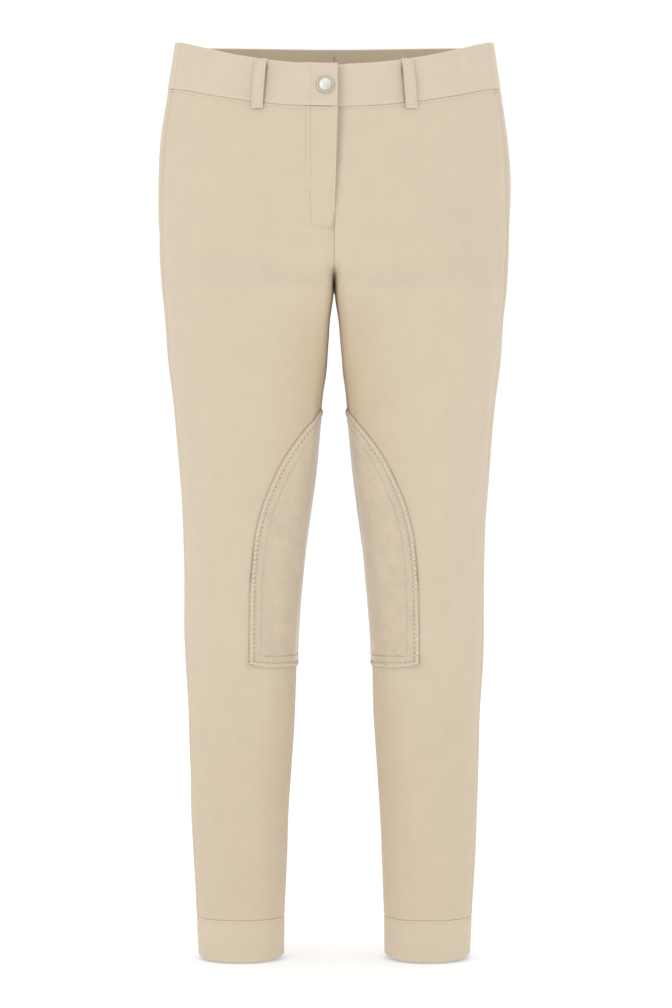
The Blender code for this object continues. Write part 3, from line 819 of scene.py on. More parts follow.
def garment_piece(name, mesh, finish, slot):
    """A smooth object of one material, which rides on the part's one body."""
    mesh.shade_smooth()
    mesh.materials.append(finish)
    piece = placed(name, mesh)
    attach(piece, "root")
    return piece


def new_piece(name, points, quads, places, finish, floats, slot):
    """A piece from points in mm, their place on the cut cloth as a UV map, and named floats."""
    mesh = bpy.data.meshes.new(name)
    mesh.from_pydata((points * METRES).tolist(), [], quads.tolist())
    build = bmesh.new()
    build.from_mesh(mesh)
    bmesh.ops.recalc_face_normals(build, faces=build.faces)
    build.to_mesh(mesh)
    build.free()
    corners = np.empty(len(mesh.loops), np.int32)
    mesh.loops.foreach_get("vertex_index", corners)
    cut = mesh.uv_layers.new(name="cut")
    cut.data.foreach_set("uv", (places * METRES)[corners].ravel())
    for label, values in floats.items():
        mesh.attributes.new(label, "FLOAT", "POINT").data.foreach_set("value", values)
    return garment_piece(name, mesh, finish, slot)


def wall_quads(rows, columns):
    """Faces of a wall of two skins whose points are numbered row by row, the outer skin first."""
    outer = np.arange(rows * columns).reshape(rows, columns)
    inner = outer + rows * columns
    quads = []
    for skin in (outer, inner):
        quads.append(np.stack([skin[:-1, :-1], skin[:-1, 1:], skin[1:, 1:], skin[1:, :-1]], axis=-1))
    for first, second in (
        (outer[0], inner[0]), (outer[-1], inner[-1]),
        (outer[:, 0], inner[:, 0]), (outer[:, -1], inner[:, -1]),
    ):
        quads.append(np.stack([first[:-1], first[1:], second[1:], second[:-1]], axis=-1))
    return np.concatenate([faces.reshape(-1, 4) for faces in quads])


def drawn_to_centre(grid, column, skin, joined):
    """Brings a panel's centre edge back to the middle of the garment, in the rows joined there."""
    from_edge = np.linalg.norm(skin - skin[:, [column]], axis=-1)
    astray = (grid[:, [column], 0] - EDGE) * joined[:, None]
    grid[..., 0] -= astray * (1.0 - smooth_step(from_edge / CLOSE_REACH))
    return grid


def cloth_wall(
        node, skin, normal, side, cloth, held, near_edge=None, sunk=0.0, centre=None, deep=None):
    """A piece of cloth with rounded edges, which replaces its CAD node.

    skin and normal are grids of the outer skin; sunk is how far it dips at seams and stitching.
    centre is the column that is sewn in the middle of the garment, and in which rows. deep is
    how much painted shade the cloth's colour takes, in the crotch's crease and on the inside of the
    legs.
    """
    wall, finish, slot = cloth
    if near_edge is None:
        near_edge = np.minimum.reduce(edge_distances(skin))
    turned_in = edge_round(near_edge, wall / 2)
    outer = skin - normal * (turned_in + sunk)[..., None]
    inner = skin - normal * (wall - turned_in + sunk)[..., None]
    if centre:
        outer, inner = (drawn_to_centre(grid, centre[0], skin, centre[1]) for grid in (outer, inner))
    across, along = cut_places(skin)
    points = np.concatenate([outer.reshape(-1, 3), inner.reshape(-1, 3)])
    places = np.stack([across, along], axis=-1).reshape(-1, 2)
    worn = bump(near_edge, WEAR_WIDTH).ravel()
    floats = {"worn": np.tile(worn, 2), "reverse": np.repeat((0.0, 1.0), across.size)}
    # The deep float is painted shade, which the twill's colour reads.
    if deep is not None:
        floats["deep"] = np.tile(deep.ravel(), 2)
    piece = new_piece(
        f"cloth_{node}", flipped(points, side), wall_quads(*across.shape),
        np.concatenate([places, places]), finish, floats, slot)
    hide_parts(node)
    width, length = float(across.max()), float(along.max())
    area = min(face_area(skin), width * length)
    return {
        "piece": piece, "flat": (width, length), "area": area, "held": held, "with": [],
        "side": side, "slot": slot,
    }


# ======== stitches


def path_length(points):
    steps = np.linalg.norm(np.diff(points, axis=0), axis=-1)
    return np.concatenate([[0.0], np.cumsum(steps)])


def along_path(lengths, values, at):
    """Values given at points of a path, at some distances along it."""
    return np.stack([np.interp(at, lengths, values[:, axis]) for axis in range(3)], axis=-1)


def stitched(name, rows, finish, carrier):
    """One mesh of separate stitches. rows are (points on the cloth, normals, kind of stitch)."""
    middles, directions, normals, sizes = [], [], [], []
    for points, facing, kind in rows:
        lengths = path_length(points)
        count = max(int(lengths[-1] / kind["pitch"]), 1)
        at = (np.arange(count) + 0.5) * lengths[-1] / count
        half = kind["length"] / 2
        ends = [along_path(lengths, points, at + half * end) for end in (-1.0, 1.0)]
        middles.append(along_path(lengths, points, at))
        directions.append(unit(ends[1] - ends[0] + TINY))
        normals.append(along_path(lengths, facing, at))
        longer = 1.0 + STITCH_UNEVEN * rng.standard_normal(count)
        shape = np.array((kind["length"], kind["width"], kind["high"]))
        sizes.append(shape[None, :] * np.stack([longer, np.ones(count), np.ones(count)], axis=-1))
    middle, direction, size = map(np.concatenate, (middles, directions, sizes))
    sideways = unit(np.cross(direction, np.concatenate(normals)))
    up = np.cross(sideways, direction)
    turns = 2 * math.pi * np.arange(STITCH_SIDES) / STITCH_SIDES
    rings = []
    for place, thick, raised in STITCH_PROFILE:
        centre = middle + direction * (place * size[:, :1]) + up * (raised * size[:, 2:] / 2)
        for turn in turns:
            out = sideways * (math.cos(turn) * thick * size[:, 1:2] / 2)
            high = up * (math.sin(turn) * thick * size[:, 2:] / 2)
            rings.append(centre + out + high)
    points = np.stack(rings, axis=1)
    count, corners = points.shape[:2]
    number = np.arange(corners).reshape(-1, STITCH_SIDES)
    after = np.roll(number, -1, axis=1)
    tube = np.stack([number[:-1], after[:-1], after[1:], number[1:]], axis=-1).reshape(-1, 4)
    caps = [number[end][list(order)] for end, orders in STITCH_CAPS for order in orders]
    faces = np.concatenate([tube, np.array(caps)])
    quads = (faces[None] + (np.arange(count) * corners)[:, None, None]).reshape(-1, 4)
    lengthways = np.repeat([place for place, _, _ in STITCH_PROFILE], STITCH_SIDES)
    around = np.tile(turns / (2 * math.pi), len(STITCH_PROFILE))
    places = np.stack([
        lengthways[None, :] * size[:, :1],
        around[None, :] * size[:, 1:2] * STITCH_ROUND + np.arange(count)[:, None],
    ], axis=-1)
    carrier["with"].append(new_piece(
        f"stitches_{name}", flipped(points.reshape(-1, 3), carrier["side"]), quads,
        places.reshape(-1, 2), finish, {}, carrier["slot"]))


def row_on(skin, kind, sunk=0.0):
    """A row for stitched(): points of a skin, which may be sunk into it, and a kind of stitch."""
    points, normal = skin
    return points - normal * sunk, normal, kind


def tack(skin, width, length):
    """A bar tack: close stitches lying across a short path on a skin."""
    points, normal = skin
    lengths = path_length(points)
    count = max(int(lengths[-1] / TACK_STITCH["pitch"]), 2)
    kind = {**TACK_STITCH, "pitch": width, "length": length}
    half = np.array((width / 2, 0.0, 0.0))
    rows = []
    for at in np.linspace(0.0, lengths[-1], count):
        middle = along_path(lengths, points, at)
        facing = along_path(lengths, normal, at)
        rows.append((np.stack([middle - half, middle + half]), np.stack([facing, facing]), kind))
    return rows


# ======== materials


def node_out(tree, kind, output, inputs, **settings):
    """The output of a new node. inputs are sockets, numbers or colours, by their name or number."""
    node = tree.nodes.new(kind)
    for key, value in settings.items():
        setattr(node, key, value)
    for key, value in inputs.items():
        if isinstance(value, bpy.types.NodeSocket):
            tree.links.new(value, node.inputs[key])
        else:
            node.inputs[key].default_value = (*value, 1.0) if isinstance(value, tuple) else value
    return node.outputs[output]


def noise(tree, vector, scale, detail=3.0, rough=0.55):
    inputs = {"Vector": vector, "Scale": scale, "Detail": detail, "Roughness": rough}
    return node_out(tree, "ShaderNodeTexNoise", "Fac", inputs)


def waves(tree, vector, scale, direction, distortion=0.0, detail_scale=1.0):
    inputs = {"Vector": vector, "Scale": scale, "Distortion": distortion, "Detail Scale": detail_scale}
    settings = {"wave_type": "BANDS", "bands_direction": direction}
    return node_out(tree, "ShaderNodeTexWave", "Fac", inputs, **settings)


def maths(tree, operation, first, second):
    return node_out(tree, "ShaderNodeMath", "Value", {0: first, 1: second}, operation=operation)


def ranged(tree, value, low, high, from_low=0.0, from_high=1.0):
    inputs = {"From Min": from_low, "From Max": from_high, "To Min": low, "To Max": high}
    return node_out(tree, "ShaderNodeMapRange", "Result", {**inputs, "Value": value})


def tinted(tree, share, first, second, mode="MIX"):
    """Colours mixed by a share; each is a colour or a socket."""
    inputs = {0: share, 6: first, 7: second}
    return node_out(tree, "ShaderNodeMix", 2, inputs, data_type="RGBA", blend_type=mode)


def attribute(tree, name):
    return node_out(tree, "ShaderNodeAttribute", "Fac", {}, attribute_name=name)


def shaded(colour, factor):
    return tuple(min(value * factor, 1.0) for value in colour)


def new_material(name, rough, **fixed):
    """A material and its tree, with the sockets that are even all over set by name."""
    made = bpy.data.materials.new(name)
    made.use_nodes = True
    tree = made.node_tree
    shader = tree.nodes["Principled BSDF"]
    shader.inputs["Roughness"].default_value = rough
    for socket, value in fixed.items():
        shader.inputs[socket.replace("_", " ")].default_value = value
    return made, tree, shader


def bumped(tree, shader, height, strength, distance):
    inputs = {"Height": height, "Strength": strength, "Distance": distance}
    normal = node_out(tree, "ShaderNodeBump", "Normal", inputs)
    tree.links.new(normal, shader.inputs["Normal"])


TWILL_RIB = 0.9  # mm between the diagonal ribs
WEFT = 0.55  # mm between the weft yarns
THREAD_TWIST = 0.55  # mm between the plies of a thread


def wave_scale(period, diagonal=False):
    """The wave texture's scale for bands this many mm apart, over coordinates in metres."""
    per_unit = 10.0 * math.sqrt(2.0) if diagonal else 20.0
    return 2 * math.pi / (per_unit * period * METRES)


def weighted(tree, *parts):
    """The sum of some values, each times its weight."""
    total = None
    for value, weight in parts:
        share = maths(tree, "MULTIPLY", value, weight)
        total = share if total is None else maths(tree, "ADD", total, share)
    return total


def varied(tree, body, value, low, high, from_low, from_high):
    """A colour made darker where a value is low and lighter where it is high."""
    return tinted(tree, 1.0, body, ranged(tree, value, low, high, from_low, from_high), "MULTIPLY")


def marked(tree, body, name, amount, colour):
    """A colour moved towards another one where a piece's named float says so."""
    return tinted(tree, maths(tree, "MULTIPLY", attribute(tree, name), amount), body, colour)


def object_place(tree):
    return node_out(tree, "ShaderNodeTexCoord", "Object", {})


def cut_place(tree):
    return node_out(tree, "ShaderNodeUVMap", "UV", {}, uv_map="cut")


def twill(name, colour, reverse_colour):
    """Stretch cotton twill: fine diagonal ribs, uneven yarn, a faint cloudy dye, rubbed seams, and
    painted shade in the crotch's crease and on the inner and lower legs.
    """
    made, tree, shader = new_material(
        name, 0.86, Specular_IOR_Level=0.28, Sheen_Weight=0.16, Sheen_Roughness=0.45)
    place, cut = object_place(tree), cut_place(tree)
    ribs = waves(tree, cut, wave_scale(TWILL_RIB, True), "DIAGONAL", 1.2, 0.6)
    weft = waves(tree, cut, wave_scale(WEFT), "Y", 0.8, 0.5)
    weave = weighted(tree, (ribs, 0.55), (weft, 0.2), (noise(tree, cut, 1400.0, 2.0), 0.35))
    cloud = noise(tree, place, 38.0, 4.0, 0.6)
    fleck = noise(tree, place, 240.0, 3.0, 0.6)
    dye = ranged(tree, weighted(tree, (cloud, 0.6), (fleck, 0.4)), 0.0, 1.0, 0.36, 0.64)
    body = tinted(tree, dye, shaded(colour, 0.975), shaded(colour, 1.02))
    body = varied(tree, body, weave, 0.955, 1.02, 0.25, 0.85)
    body = marked(tree, body, "worn", 0.35, shaded(colour, 1.07))
    body = marked(tree, body, "reverse", 1.0, reverse_colour)
    # Painted shade: the colour darkens and warms by the deep float, in the crotch's crease, on the
    # inside of the thighs and faintly over the lower legs.
    body = marked(tree, body, "deep", 0.8, PAINTED_SHADE_COLOUR)
    tree.links.new(body, shader.inputs["Base Color"])
    tree.links.new(ranged(tree, fleck, 0.80, 0.92), shader.inputs["Roughness"])
    bumped(tree, shader, weave, 0.35, 0.00022)
    return made


def suedette(name, colour, reverse_colour):
    """Brushed suedette: a short nap that lies in soft lighter and darker strokes."""
    made, tree, shader = new_material(
        name, 0.95, Specular_IOR_Level=0.18, Sheen_Weight=0.75, Sheen_Roughness=0.42)
    place = object_place(tree)
    nap = noise(tree, cut_place(tree), 2600.0, 2.0, 0.7)
    strokes = noise(tree, place, 60.0, 5.0, 0.65)
    lay = noise(tree, place, 420.0, 2.0, 0.6)
    tone = ranged(tree, weighted(tree, (strokes, 0.65), (lay, 0.35)), 0.0, 1.0, 0.36, 0.64)
    body = tinted(tree, tone, shaded(colour, 0.93), shaded(colour, 1.05))
    body = varied(tree, body, nap, 0.93, 1.05, 0.3, 0.7)
    body = marked(tree, body, "worn", 0.4, shaded(colour, 1.1))
    body = marked(tree, body, "reverse", 1.0, reverse_colour)
    tree.links.new(body, shader.inputs["Base Color"])
    bumped(tree, shader, weighted(tree, (nap, 1.0), (lay, 0.6)), 0.5, 0.0002)
    return made


def thread(name, colour):
    """Corespun thread: two plies twisted together, a little lighter on their crowns."""
    made, tree, shader = new_material(
        name, 0.62, Specular_IOR_Level=0.35, Sheen_Weight=0.1, Sheen_Roughness=0.4)
    plies = waves(tree, cut_place(tree), wave_scale(THREAD_TWIST, True), "DIAGONAL")
    body = tinted(tree, plies, shaded(colour, 0.9), shaded(colour, 1.04))
    body = varied(tree, body, noise(tree, object_place(tree), 500.0), 0.94, 1.05, 0.3, 0.7)
    tree.links.new(body, shader.inputs["Base Color"])
    bumped(tree, shader, plies, 0.4, 0.00012)
    return made


def metal(name, colour, rough):
    """Plated metal with fine turning marks and a little tarnish."""
    made, tree, shader = new_material(name, rough, Metallic=1.0)
    place = object_place(tree)
    marks = noise(tree, place, 3000.0, 2.0)
    tarnish = ranged(tree, noise(tree, place, 300.0, 3.0), 0.0, 1.0, 0.35, 0.7)
    tree.links.new(tinted(tree, tarnish, shaded(colour, 0.9), colour), shader.inputs["Base Color"])
    tree.links.new(ranged(tree, marks, rough - 0.06, rough + 0.1), shader.inputs["Roughness"])
    bumped(tree, shader, marks, 0.15, 0.00004)
    return made


def pearl(name, colour, painted_shade_colour):
    """A pearly cap with painted light and shade: pale at its upper left, darker and warmer across to
    its lower right, with cloudy shifts under a clear coat.
    """
    made, tree, shader = new_material(
        name, 0.28, Metallic=0.25, Coat_Weight=0.5, Coat_Roughness=0.12)
    cloud = noise(tree, object_place(tree), 260.0, 3.0)
    place = {"Vector": node_out(tree, "ShaderNodeTexCoord", "Generated", {})}
    x, z = (node_out(tree, "ShaderNodeSeparateXYZ", axis, place) for axis in "XZ")
    # Painted light and shade: the cap's colour runs from lit at its upper left to shaded at its lower
    # right.
    across = weighted(tree, (x, 1.3), (z, -1.0))
    body = tinted(tree, ranged(tree, across, 0.0, 1.0, -0.2, 1.1), colour, painted_shade_colour)
    body = varied(tree, body, cloud, 0.96, 1.03, 0.35, 0.65)
    tree.links.new(body, shader.inputs["Base Color"])
    tree.links.new(ranged(tree, cloud, 0.22, 0.34), shader.inputs["Roughness"])
    bumped(tree, shader, cloud, 0.05, 0.0001)
    return made


def floor_material(colour):
    made, tree, shader = new_material(
        "studio_floor", 0.9, Specular_IOR_Level=0.1, Emission_Color=(1.0, 1.0, 1.0, 1.0),
        Emission_Strength=FLOOR_GLOW)
    body = tinted(tree, noise(tree, object_place(tree), 3.0), shaded(colour, 0.995), colour)
    tree.links.new(body, shader.inputs["Base Color"])
    return made


# Linear colours
# The next colour is painted shade, the dark warm tone the twill takes in the crotch's crease and on the
# inner and lower legs.
PAINTED_SHADE_COLOUR = (0.48, 0.31, 0.15)
TWILL_COLOUR = (0.658, 0.558, 0.422)
TWILL_REVERSE = (0.55, 0.45, 0.335)
BAND_COLOUR = (0.67, 0.575, 0.448)
BAND_REVERSE = (0.69, 0.575, 0.43)
SUEDE_COLOUR = (0.628, 0.522, 0.392)
THREAD_COLOUR = (0.60, 0.505, 0.385)
BEAD_COLOUR = (0.72, 0.62, 0.475)
# Dark thread that stands for painted shade: in needle holes, under the knee patch's edge and in the
# dips of the fly's rows.
SHADOW_THREAD = (0.46, 0.38, 0.28)
METAL_COLOUR = (0.60, 0.55, 0.45)
# The pearl's colours: its own pale colour, painted as lit at the cap's upper left, and painted shade at
# its lower right.
PEARL_COLOUR = (0.82, 0.81, 0.74)
PEARL_PAINTED_SHADE = (0.52, 0.47, 0.38)
FLOOR_COLOUR = (0.66, 0.66, 0.66)
FLOOR_GLOW = 0.40  # the floor is lit from below, as a studio's light table

TWILL = twill("twill_cloth", TWILL_COLOUR, TWILL_REVERSE)
BAND_TWILL = twill("band_cloth", BAND_COLOUR, BAND_REVERSE)
SUEDE = suedette("suedette_cloth", SUEDE_COLOUR, TWILL_REVERSE)
THREAD = thread("thread_body", THREAD_COLOUR)
BEAD_THREAD = thread("thread_light", BEAD_COLOUR)
PAINTED_SHADE_THREAD = thread("thread_shadow", SHADOW_THREAD)
METAL = metal("stud_plate", METAL_COLOUR, 0.24)
PEARL = pearl("stud_pearl_face", PEARL_COLOUR, PEARL_PAINTED_SHADE)

# What each piece of cloth is made of: its wall, material and slot.
PANEL_CLOTH = (PANEL_WALL, TWILL, "twill")
BAND_CLOTH = (BAND_WALL, BAND_TWILL, "band_twill")
LOOP_CLOTH = (LOOP_WALL, BAND_TWILL, "band_twill")
PATCH_CLOTH = (PATCH_WALL, SUEDE, "suedette")
CUFF_CLOTH = (CUFF_WALL, TWILL, "twill")

# ======== leg panels


def rise_share(places, seam_end, bend_top):
    """How far down the rise each row meets it, of the way from the band's seam to the crotch.

    The rows are even down the straight part, then even round the bend.
    """
    straight = seam_end - bend_top
    bend = BEND_LENGTH * (bend_top - CROTCH)
    turn_at = straight / (straight + bend)
    down = straight * np.minimum(places / turn_at, 1.0)
    turn = np.clip((places - turn_at) / (1.0 - turn_at), 0.0, 1.0) * math.pi / 2
    down = down + (bend_top - CROTCH) * np.sin(turn)
    return down / (seam_end - CROTCH)


def panel_rows(seam_end, bend_top):
    """For each row: the even share above the crotch, the rise's share, and the height on the leg."""
    even = graded(seam_end - CROTCH, ROW_STEP, True, False)
    leg = graded(CROTCH - CUFF_SEAM, ROW_STEP, False, True)[1:]
    return even, rise_share(even, seam_end, bend_top), mix(CROTCH, CUFF_SEAM + EDGE, leg)


def panel_heights(ring, even, at_rise, leg):
    """The heights of a panel's grid: each row follows the band's seam less and less on its way down."""
    above_crotch = ring[:len(even)]
    from_end = np.minimum(np.abs(above_crotch), 2.0 - above_crotch)
    share = mix(at_rise[:, None], even[:, None], smooth_step(from_end))
    top = band_edge(BAND_SEAM, above_crotch, PANEL_SIDE_SEAM) - EDGE
    lower = np.repeat(leg[:, None], ring.shape[1], axis=1)
    return np.concatenate([mix(top, CROTCH, share), lower])


def clear_of_centre(grid, crosses):
    """Holds a half's points just off the centre, but for those meant to cross."""
    grid[..., 0] = np.where(crosses, grid[..., 0], np.maximum(grid[..., 0], EDGE))
    return grid


def joined_rows(height, top):
    """1 for the rows whose centre edge is sewn to the other half, 0 above and below them."""
    below_top = smooth_step((top + JOIN_FADE - height) / JOIN_FADE)
    return below_top * smooth_step((height - CROTCH) / JOIN_FADE)


def rows_sunk(distance, *places):
    """How far cloth is drawn in along rows of stitches at some places from an edge."""
    return sum(dip(distance - place, ROW_DIP) for place in places)


def front_panel(node, side):
    even, at_rise, leg = panel_rows(BAND_SEAM["front"], FLY_END)
    centre = np.concatenate([mix(BAND_SEAM["front"], CROTCH, at_rise), np.full(len(leg), CROTCH)])
    edge_ring = -ring_at(front_edge(centre, side) - EDGE, centre)
    edge_ring = np.where(centre <= CROTCH, EDGE_RING, edge_ring)
    slope_ring = ring_at(FLY_SLOPE[1], FLY_END)
    fly_width = FLY_SLOPE[1] + (FLY_LAP if side < 0.0 else UNDERLAP)
    fly = mix(edge_ring[:, None], slope_ring, graded(fly_width, FLY_STEP, True, False)[None, :])
    rest = graded((1.0 - slope_ring) * RING_LENGTH, PANEL_STEP)[1:]
    rest = mix(slope_ring, 1.0 - EDGE_RING, rest)
    ring = np.concatenate([fly, np.repeat(rest[None, :], len(fly), axis=0)], axis=1)
    height = panel_heights(ring, even, at_rise, leg)
    skin, normal = panel_skin(ring, height, side)
    skin = clear_of_centre(skin, ring < 0.0)
    to_fly, to_side, to_band, to_cuff = edge_distances(skin)
    below_fly = smooth_step((FLY_END - height) / ROW_FADE)
    over_hips = smooth_step((height - SIDE_VALLEY_FOOT) / SIDE_VALLEY_REACH)
    sunk = dip(to_fly, CENTRE_DIP) * below_fly
    sunk = sunk + dip(to_side, SIDE_DIP) + dip(to_band, SEAM_DIP) + dip(to_cuff, SEAM_DIP)
    sunk = sunk + rows_sunk(to_band, BAND_ROW) + rows_sunk(to_side, *SIDE_ROWS)
    sunk = sunk + dip(to_side - SIDE_VALLEY_PLACE, SIDE_VALLEY) * over_hips
    if side < 0.0:
        from_centre = np.abs(skin[..., 0])
        above_foot = smooth_step((height - FLY_ROW_FEET[0]) / FLY_ROW_FADE)
        above_bend = smooth_step((height - CREASE_TOP) / ROW_FADE) * below_fly
        sunk = sunk + rows_sunk(from_centre, *FLY_ROWS) * above_foot
        sunk = sunk + rows_sunk(from_centre, *CENTRE_ROWS) * above_bend
    # deep is painted shade: the crotch's crease and the inner and lower legs are darker in colour.
    return cloth_wall(
        node, skin, normal, side, PANEL_CLOTH, "hung", sunk=sunk,
        centre=(0, joined_rows(centre, FLY_END)),
        deep=np.maximum(painted_crease_shade(skin, height), painted_leg_shade(skin, height)))


def back_panel(node, side):
    even, at_rise, leg = panel_rows(BAND_SEAM["back"], BACK_BEND)
    columns = mix(1.0 + EDGE_RING, 2.0 - EDGE_RING, graded(RING_LENGTH, PANEL_STEP))
    ring = np.repeat(columns[None, :], len(even) + len(leg), axis=0)
    height = panel_heights(ring, even, at_rise, leg)
    skin, normal = panel_skin(ring, height, side)
    skin = clear_of_centre(skin, False)
    to_side, to_centre, to_band, to_cuff = edge_distances(skin)
    above_crotch = smooth_step((height - CROTCH) / CROTCH_BLEND)
    sunk = dip(to_side, SIDE_DIP) + sum(dip(edge, SEAM_DIP) for edge in (to_centre, to_band, to_cuff))
    sunk = sunk + rows_sunk(to_band, BAND_ROW) + rows_sunk(to_centre, *CENTRE_ROWS) * above_crotch
    # deep is painted shade on the inner and lower legs.
    return cloth_wall(
        node, skin, normal, side, PANEL_CLOTH, "hung", sunk=sunk,
        centre=(-1, joined_rows(height[:, -1], BAND_SEAM["back"])), deep=painted_leg_shade(skin, height))


def row_count(first, last):
    return max(int(abs(last - first) / PATH_STEP), 2)


def under_band(side, first, last):
    """The row under the band's seam, between two ring places."""
    ring = np.linspace(first, last, row_count(first * RING_LENGTH, last * RING_LENGTH))
    height = band_edge(BAND_SEAM, ring, PANEL_SIDE_SEAM) - EDGE - BAND_ROW
    return row_on(panel_skin(ring, height, side), STITCH, ROW_DIP[0])


def side_rows(side):
    """Rows beside the side seam, on the front panel, from the band to the cuff."""
    top = BAND_SEAM["side"] - SIDE_ROW_INSETS[0]
    height = np.linspace(top, CUFF_SEAM + SIDE_ROW_INSETS[1], row_count(top, CUFF_SEAM))
    step = body_point(1.0, height) - body_point(1.0 - SIDE_TURN, height)
    for place in SIDE_ROWS:
        ring = 1.0 - SIDE_TURN * place / np.linalg.norm(step, axis=-1)
        yield row_on(panel_skin(ring, height, side), STITCH, ROW_DIP[0] + dip(place, SIDE_DIP))


def centre_rows(side, top, foot, back):
    """Rows beside the centre seam, down to where it turns under."""
    height = np.linspace(top, foot, row_count(top, foot))
    for place in CENTRE_ROWS:
        ring = ring_at(np.full(len(height), place), height, PANEL_SIDE_SEAM, back)
        yield row_on(panel_skin(ring, height, side), FINE_STITCH, ROW_DIP[0] + dip(place, SEAM_DIP))


def fly_row(distance, height, kind, sunk):
    """A row on the right front, by its distance to the centre and its height."""
    return row_on(panel_skin(ring_at(distance, height), height, RIGHT), kind, sunk)


def fly_ticks():
    """Short level stitches between the fly's two rows, near their top and their foot."""
    distance = np.linspace(FLY_ROWS[0] + FLY_TICK_INSET, FLY_ROWS[1] - FLY_TICK_INSET, 4)
    for top, foot in FLY_TICKS:
        for level in np.arange(top, foot, -FLY_TICK_PITCH):
            yield fly_row(distance, np.full(4, level), LEVEL_STITCH, TICK_SINK)


def fly_rows():
    """The two rows that hold the fly's facing: straight down, round a corner, then to the centre."""
    top = BAND_SEAM["front"] - FLY_ROW_INSET
    turn = np.linspace(0.0, math.pi / 2, 7)[1:]
    for place, foot in zip(FLY_ROWS, FLY_ROW_FEET):
        straight = np.linspace(top, foot + FLY_CORNER, row_count(top, foot))
        corner_x = place - FLY_CORNER * (1.0 - np.cos(turn))
        corner_z = foot + FLY_CORNER * (1.0 - np.sin(turn))
        end_x = np.linspace(corner_x[-1], CENTRE_ROWS[0] - 1.0, 14)[1:]
        end_z = corner_z[-1] - FLY_DIAGONAL * (corner_x[-1] - end_x)
        distance = np.concatenate([np.full(len(straight), place), corner_x, end_x])
        height = np.concatenate([straight, corner_z, end_z])
        sunk = ROW_DIP[0] * smooth_step((height - FLY_ROW_FEET[0]) / FLY_ROW_FADE)[:, None]
        yield fly_row(distance, height, FINE_STITCH, sunk)


def fly_edge_row():
    height = np.linspace(*FLY_EDGE_ROW_ENDS, row_count(*FLY_EDGE_ROW_ENDS))
    return fly_row(FLY_EDGE_ROW - front_edge(height, RIGHT), height, FINE_STITCH, EDGE_ROW_SINK)


def fly_tacks():
    """Two bar tacks at the foot of the fly: one on its edge, one beside it."""
    rows = []
    for distance, top, foot in FLY_TACKS:
        height = np.linspace(top, foot, 8)
        ring = ring_at(np.full(8, distance), height)
        rows += tack(panel_skin(ring, height, RIGHT), *FLY_TACK_SIZE)
    return rows


def leg_panels():
    for label, side in SIDES:
        front = front_panel(f"front_{label}", side)
        back = back_panel(f"back_{label}", side)
        first = -0.01 if side < 0.0 else ring_at(FLY_LAP + 1.0, BAND_SEAM["front"])
        rows = [under_band(side, first, 0.985), *side_rows(side)]
        if side < 0.0:
            rows += [*centre_rows(side, FLY_TACKS[1][2], CREASE_TOP - 4.0, False), *fly_ticks()]
            rows.append(fly_edge_row())
            # The fly's rows are in the dark thread: their stitching together with painted shade of the
            # dip they sew into the cloth.
            stitched("fly_rows", fly_rows(), PAINTED_SHADE_THREAD, front)
            stitched("fly_tacks", fly_tacks(), BEAD_THREAD, front)
        stitched(f"front_{label}", rows, THREAD, front)
        rows = [under_band(side, 1.015, 1.99)]
        rows += centre_rows(side, BAND_SEAM["back"] - 3.0, CROTCH + 6.0, True)
        stitched(f"back_{label}", rows, THREAD, back)
        yield front
        yield back


# ======== waistband


def band_piece(node, side, ring):
    seam = band_edge(BAND_SEAM, ring) + EDGE
    top = band_edge(BAND_TOP, ring)
    share = graded(BAND_TOP["front"] - BAND_SEAM["front"], BAND_STEP)[:, None]
    height = mix(seam[None, :], top[None, :], share)
    ring = np.repeat(ring[None, :], len(share), axis=0)
    skin, normal = band_skin(ring, height, side)
    first, last, to_seam, _ = edge_distances(skin)
    sunk = dip(to_seam, SEAM_DIP) + BAND_END_SHARE * dip(last, SEAM_DIP)
    if "back" in node:
        sunk = sunk + BAND_END_SHARE * dip(first, SEAM_DIP)
    return cloth_wall(node, skin, normal, side, BAND_CLOTH, "stretched", sunk=sunk)


def waistband():
    level = BAND_SEAM["front"]
    slope_ring = band_ring(FLY_SLOPE[1], level)
    for label, side in SIDES:
        past_centre = FLY_LAP if side < 0.0 else BAND_UNDERLAP
        fly = graded(FLY_SLOPE[1] + past_centre, BAND_FLY_STEP, True, False)
        fly = mix(-band_ring(past_centre, level), slope_ring, fly)
        rest = graded((1.0 - slope_ring) * RING_LENGTH, BAND_STEP, False, True)[1:]
        rest = mix(slope_ring, 1.0 - EDGE_RING, rest)
        at_groove = np.arange(LOOP_FRONT_TOP - GROOVE_REACH, LOOP_FRONT_FOOT, GROOVE_STEP)
        at_groove = band_ring(at_groove, level)
        rest = rest[(rest < at_groove[0]) | (rest > at_groove[-1])]
        ring = np.sort(np.concatenate([fly, rest, at_groove]))
        band = band_piece(f"waistband_front_{label}", side, ring)
        if side < 0.0:
            stitched("band_end", band_end_rows(), THREAD, band)
        yield band
    ring = mix(1.0 + EDGE_RING, 3.0 - EDGE_RING, graded(2 * RING_LENGTH, BAND_STEP))
    band = band_piece("waistband_back", LEFT, ring)
    stitched("loop_tack", loop_tack_inside(), THREAD, band)
    yield band


def band_end_rows():
    """The fine row beside the press stud, with a few level stitches near its top and its foot."""
    ends = (BAND_TOP["front"] - BAND_TACK_INSET, BAND_SEAM["front"] + BAND_TACK_INSET)
    height = np.linspace(*ends, 28)
    ring = band_ring(np.full(len(height), BAND_TACK_ROW), height)
    yield row_on(band_skin(ring, height, RIGHT), FINE_STITCH, EDGE_ROW_SINK)
    distance = np.linspace(BAND_TACK_ROW, BAND_TACK_ROW + BAND_TICK_LENGTH, 5)
    for level in BAND_TICKS:
        height = np.full(5, level)
        yield row_on(band_skin(band_ring(distance, height), height, RIGHT), FINE_STITCH, EDGE_ROW_SINK)


def loop_tack_inside():
    """The centre back loop's bar tack, where it comes through to the inside of the band."""
    height = np.linspace(*LOOP_TACK_ENDS, 6)
    points, normal = band_skin(np.full(len(height), 2.0), height, LEFT)
    return tack((points - normal * BAND_WALL, -normal), *LOOP_TACK_SIZE)


# ======== belt loops


